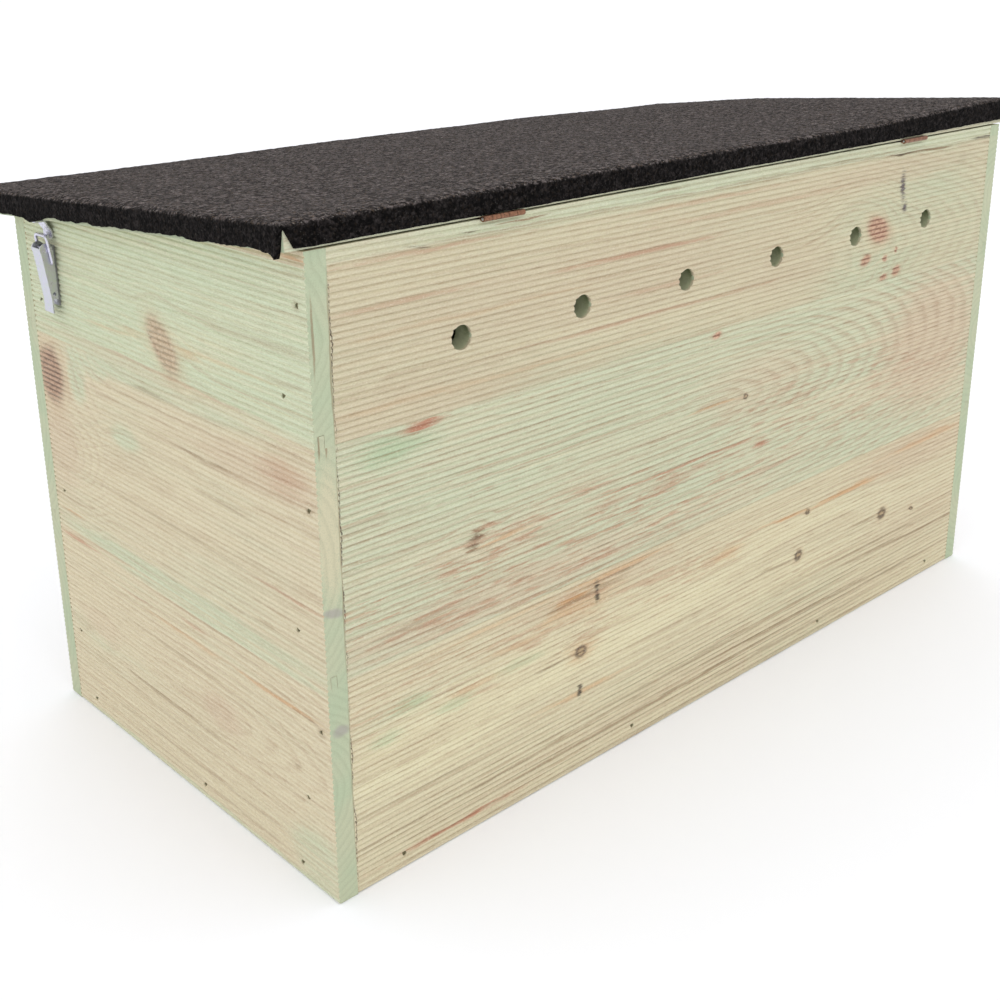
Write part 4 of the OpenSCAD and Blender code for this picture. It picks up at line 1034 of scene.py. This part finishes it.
class Stage(bpy.types.Operator):
    """Floor, surround, lights and the camera at the photograph's viewing angle"""

    bl_idname = "hedgehog.stage"
    bl_label = "Stage"

    def execute(self, context):
        p = context.scene.hh_stage
        me = bpy.data.meshes.new("floor")
        r, z = 40.0, -0.0004
        me.from_pydata([(-r, -r, z), (r, -r, z), (r, r, z), (-r, r, z)], [], [(0, 1, 2, 3)])
        floor = bpy.data.objects.new("floor", me)
        context.scene.collection.objects.link(floor)
        g = Graph("floor_white")
        g.shader.inputs["Base Color"].default_value = (0.95, 0.96, 1.0, 1)
        g.shader.inputs["Roughness"].default_value = 0.9
        me.materials.append(g.mat)
        world = bpy.data.worlds.new("surround")
        context.scene.world = world
        world.use_nodes = True
        t = world.node_tree
        t.nodes.clear()
        out = t.nodes.new("ShaderNodeOutputWorld")
        path = t.nodes.new("ShaderNodeLightPath")
        mix = t.nodes.new("ShaderNodeMixShader")
        # the light on the object, and the plain white that the camera and reflections see
        for slot, strength in ((1, p.sky), (2, 1.0)):
            white = t.nodes.new("ShaderNodeBackground")
            white.inputs["Color"].default_value = (1.0, 1.0, 1.0, 1)
            white.inputs["Strength"].default_value = strength
            t.links.new(white.outputs[0], mix.inputs[slot])
        seen = path.outputs["Is Camera Ray"]
        for kind in ("Is Glossy Ray", "Is Transmission Ray"):
            either = t.nodes.new("ShaderNodeMath")
            either.operation = "MAXIMUM"
            t.links.new(seen, either.inputs[0])
            t.links.new(path.outputs[kind], either.inputs[1])
            seen = either.outputs[0]
        t.links.new(seen, mix.inputs[0])
        t.links.new(mix.outputs[0], out.inputs["Surface"])

        middle = Vector((0.0, 0.0, 0.2))
        for name, place, watts in (("key", (-0.4, -2.2, 2.0), p.key), ("side", (-2.2, -0.6, 1.4), p.fill),
                                   ("back", (1.4, 2.0, 1.9), p.fill)):
            light = bpy.data.lights.new(name, "AREA")
            light.shape = "DISK"
            light.size = 1.6
            light.energy = watts
            ob = bpy.data.objects.new(name, light)
            ob.location = place
            ob.rotation_euler = (middle - Vector(place)).to_track_quat("-Z", "Y").to_euler()
            context.scene.collection.objects.link(ob)
        cam = bpy.data.cameras.new("camera")
        cam.lens = 49.33
        cam.sensor_width = 36.0
        cam.shift_x = -0.0241
        cam.shift_y = -0.0936
        cam.clip_end = 200.0
        ob = bpy.data.objects.new("camera", cam)
        yaw, pitch, roll = math.radians(43.60), math.radians(18.95), math.radians(-0.16)
        level = math.cos(pitch)
        ahead = Vector((math.sin(yaw) * level, math.cos(yaw) * level, -math.sin(pitch)))
        turn = ahead.to_track_quat("-Z", "Y").to_matrix().to_4x4() @ Matrix.Rotation(roll, 4, "Z")
        ob.matrix_world = Matrix.Translation((-0.74149, -0.76318, 0.54856)) @ turn
        context.scene.collection.objects.link(ob)
        context.scene.camera = ob
        context.scene.view_settings.view_transform = "Standard"
        return {"FINISHED"}


class HouseSidebar(bpy.types.Panel):
    """Lists the settings and the operators"""

    bl_label = "Hedgehog House"
    bl_idname = "VIEW3D_PT_hedgehog_house"
    bl_space_type = "VIEW_3D"
    bl_region_type = "UI"
    bl_category = "Hedgehog House"

    def draw(self, context):
        col = self.layout.column()
        for group in SETTINGS:
            settings = getattr(context.scene, group)
            for prop in settings.bl_rna.properties:
                if prop.identifier not in ("rna_type", "name"):
                    col.prop(settings, prop.identifier)
        for op in OPERATORS:
            col.operator(op.bl_idname)


SETTINGS = {"hh_timber": TimberSettings, "hh_felt": FeltSettings, "hh_metal": MetalSettings,
            "hh_stage": StageSettings}
OPERATORS = (BackWall, EndWalls, FrontWall, InnerTimber, RoofingFelt, Hardware, Stage)
CLASSES = (*SETTINGS.values(), *OPERATORS, HouseSidebar)


def register():
    for c in CLASSES:
        bpy.utils.register_class(c)
    for name, c in SETTINGS.items():
        setattr(bpy.types.Scene, name, bpy.props.PointerProperty(type=c))


def unregister():
    for name in SETTINGS:
        delattr(bpy.types.Scene, name)
    for c in reversed(CLASSES):
        bpy.utils.unregister_class(c)


def main():
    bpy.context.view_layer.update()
    register()
    bpy.ops.hedgehog.back_wall()
    bpy.ops.hedgehog.end_walls()
    bpy.ops.hedgehog.front_wall()
    bpy.ops.hedgehog.inner_timber()
    bpy.ops.hedgehog.roofing_felt()
    bpy.ops.hedgehog.hardware()
    bpy.ops.hedgehog.stage()


if __name__ == "__main__":
    main()
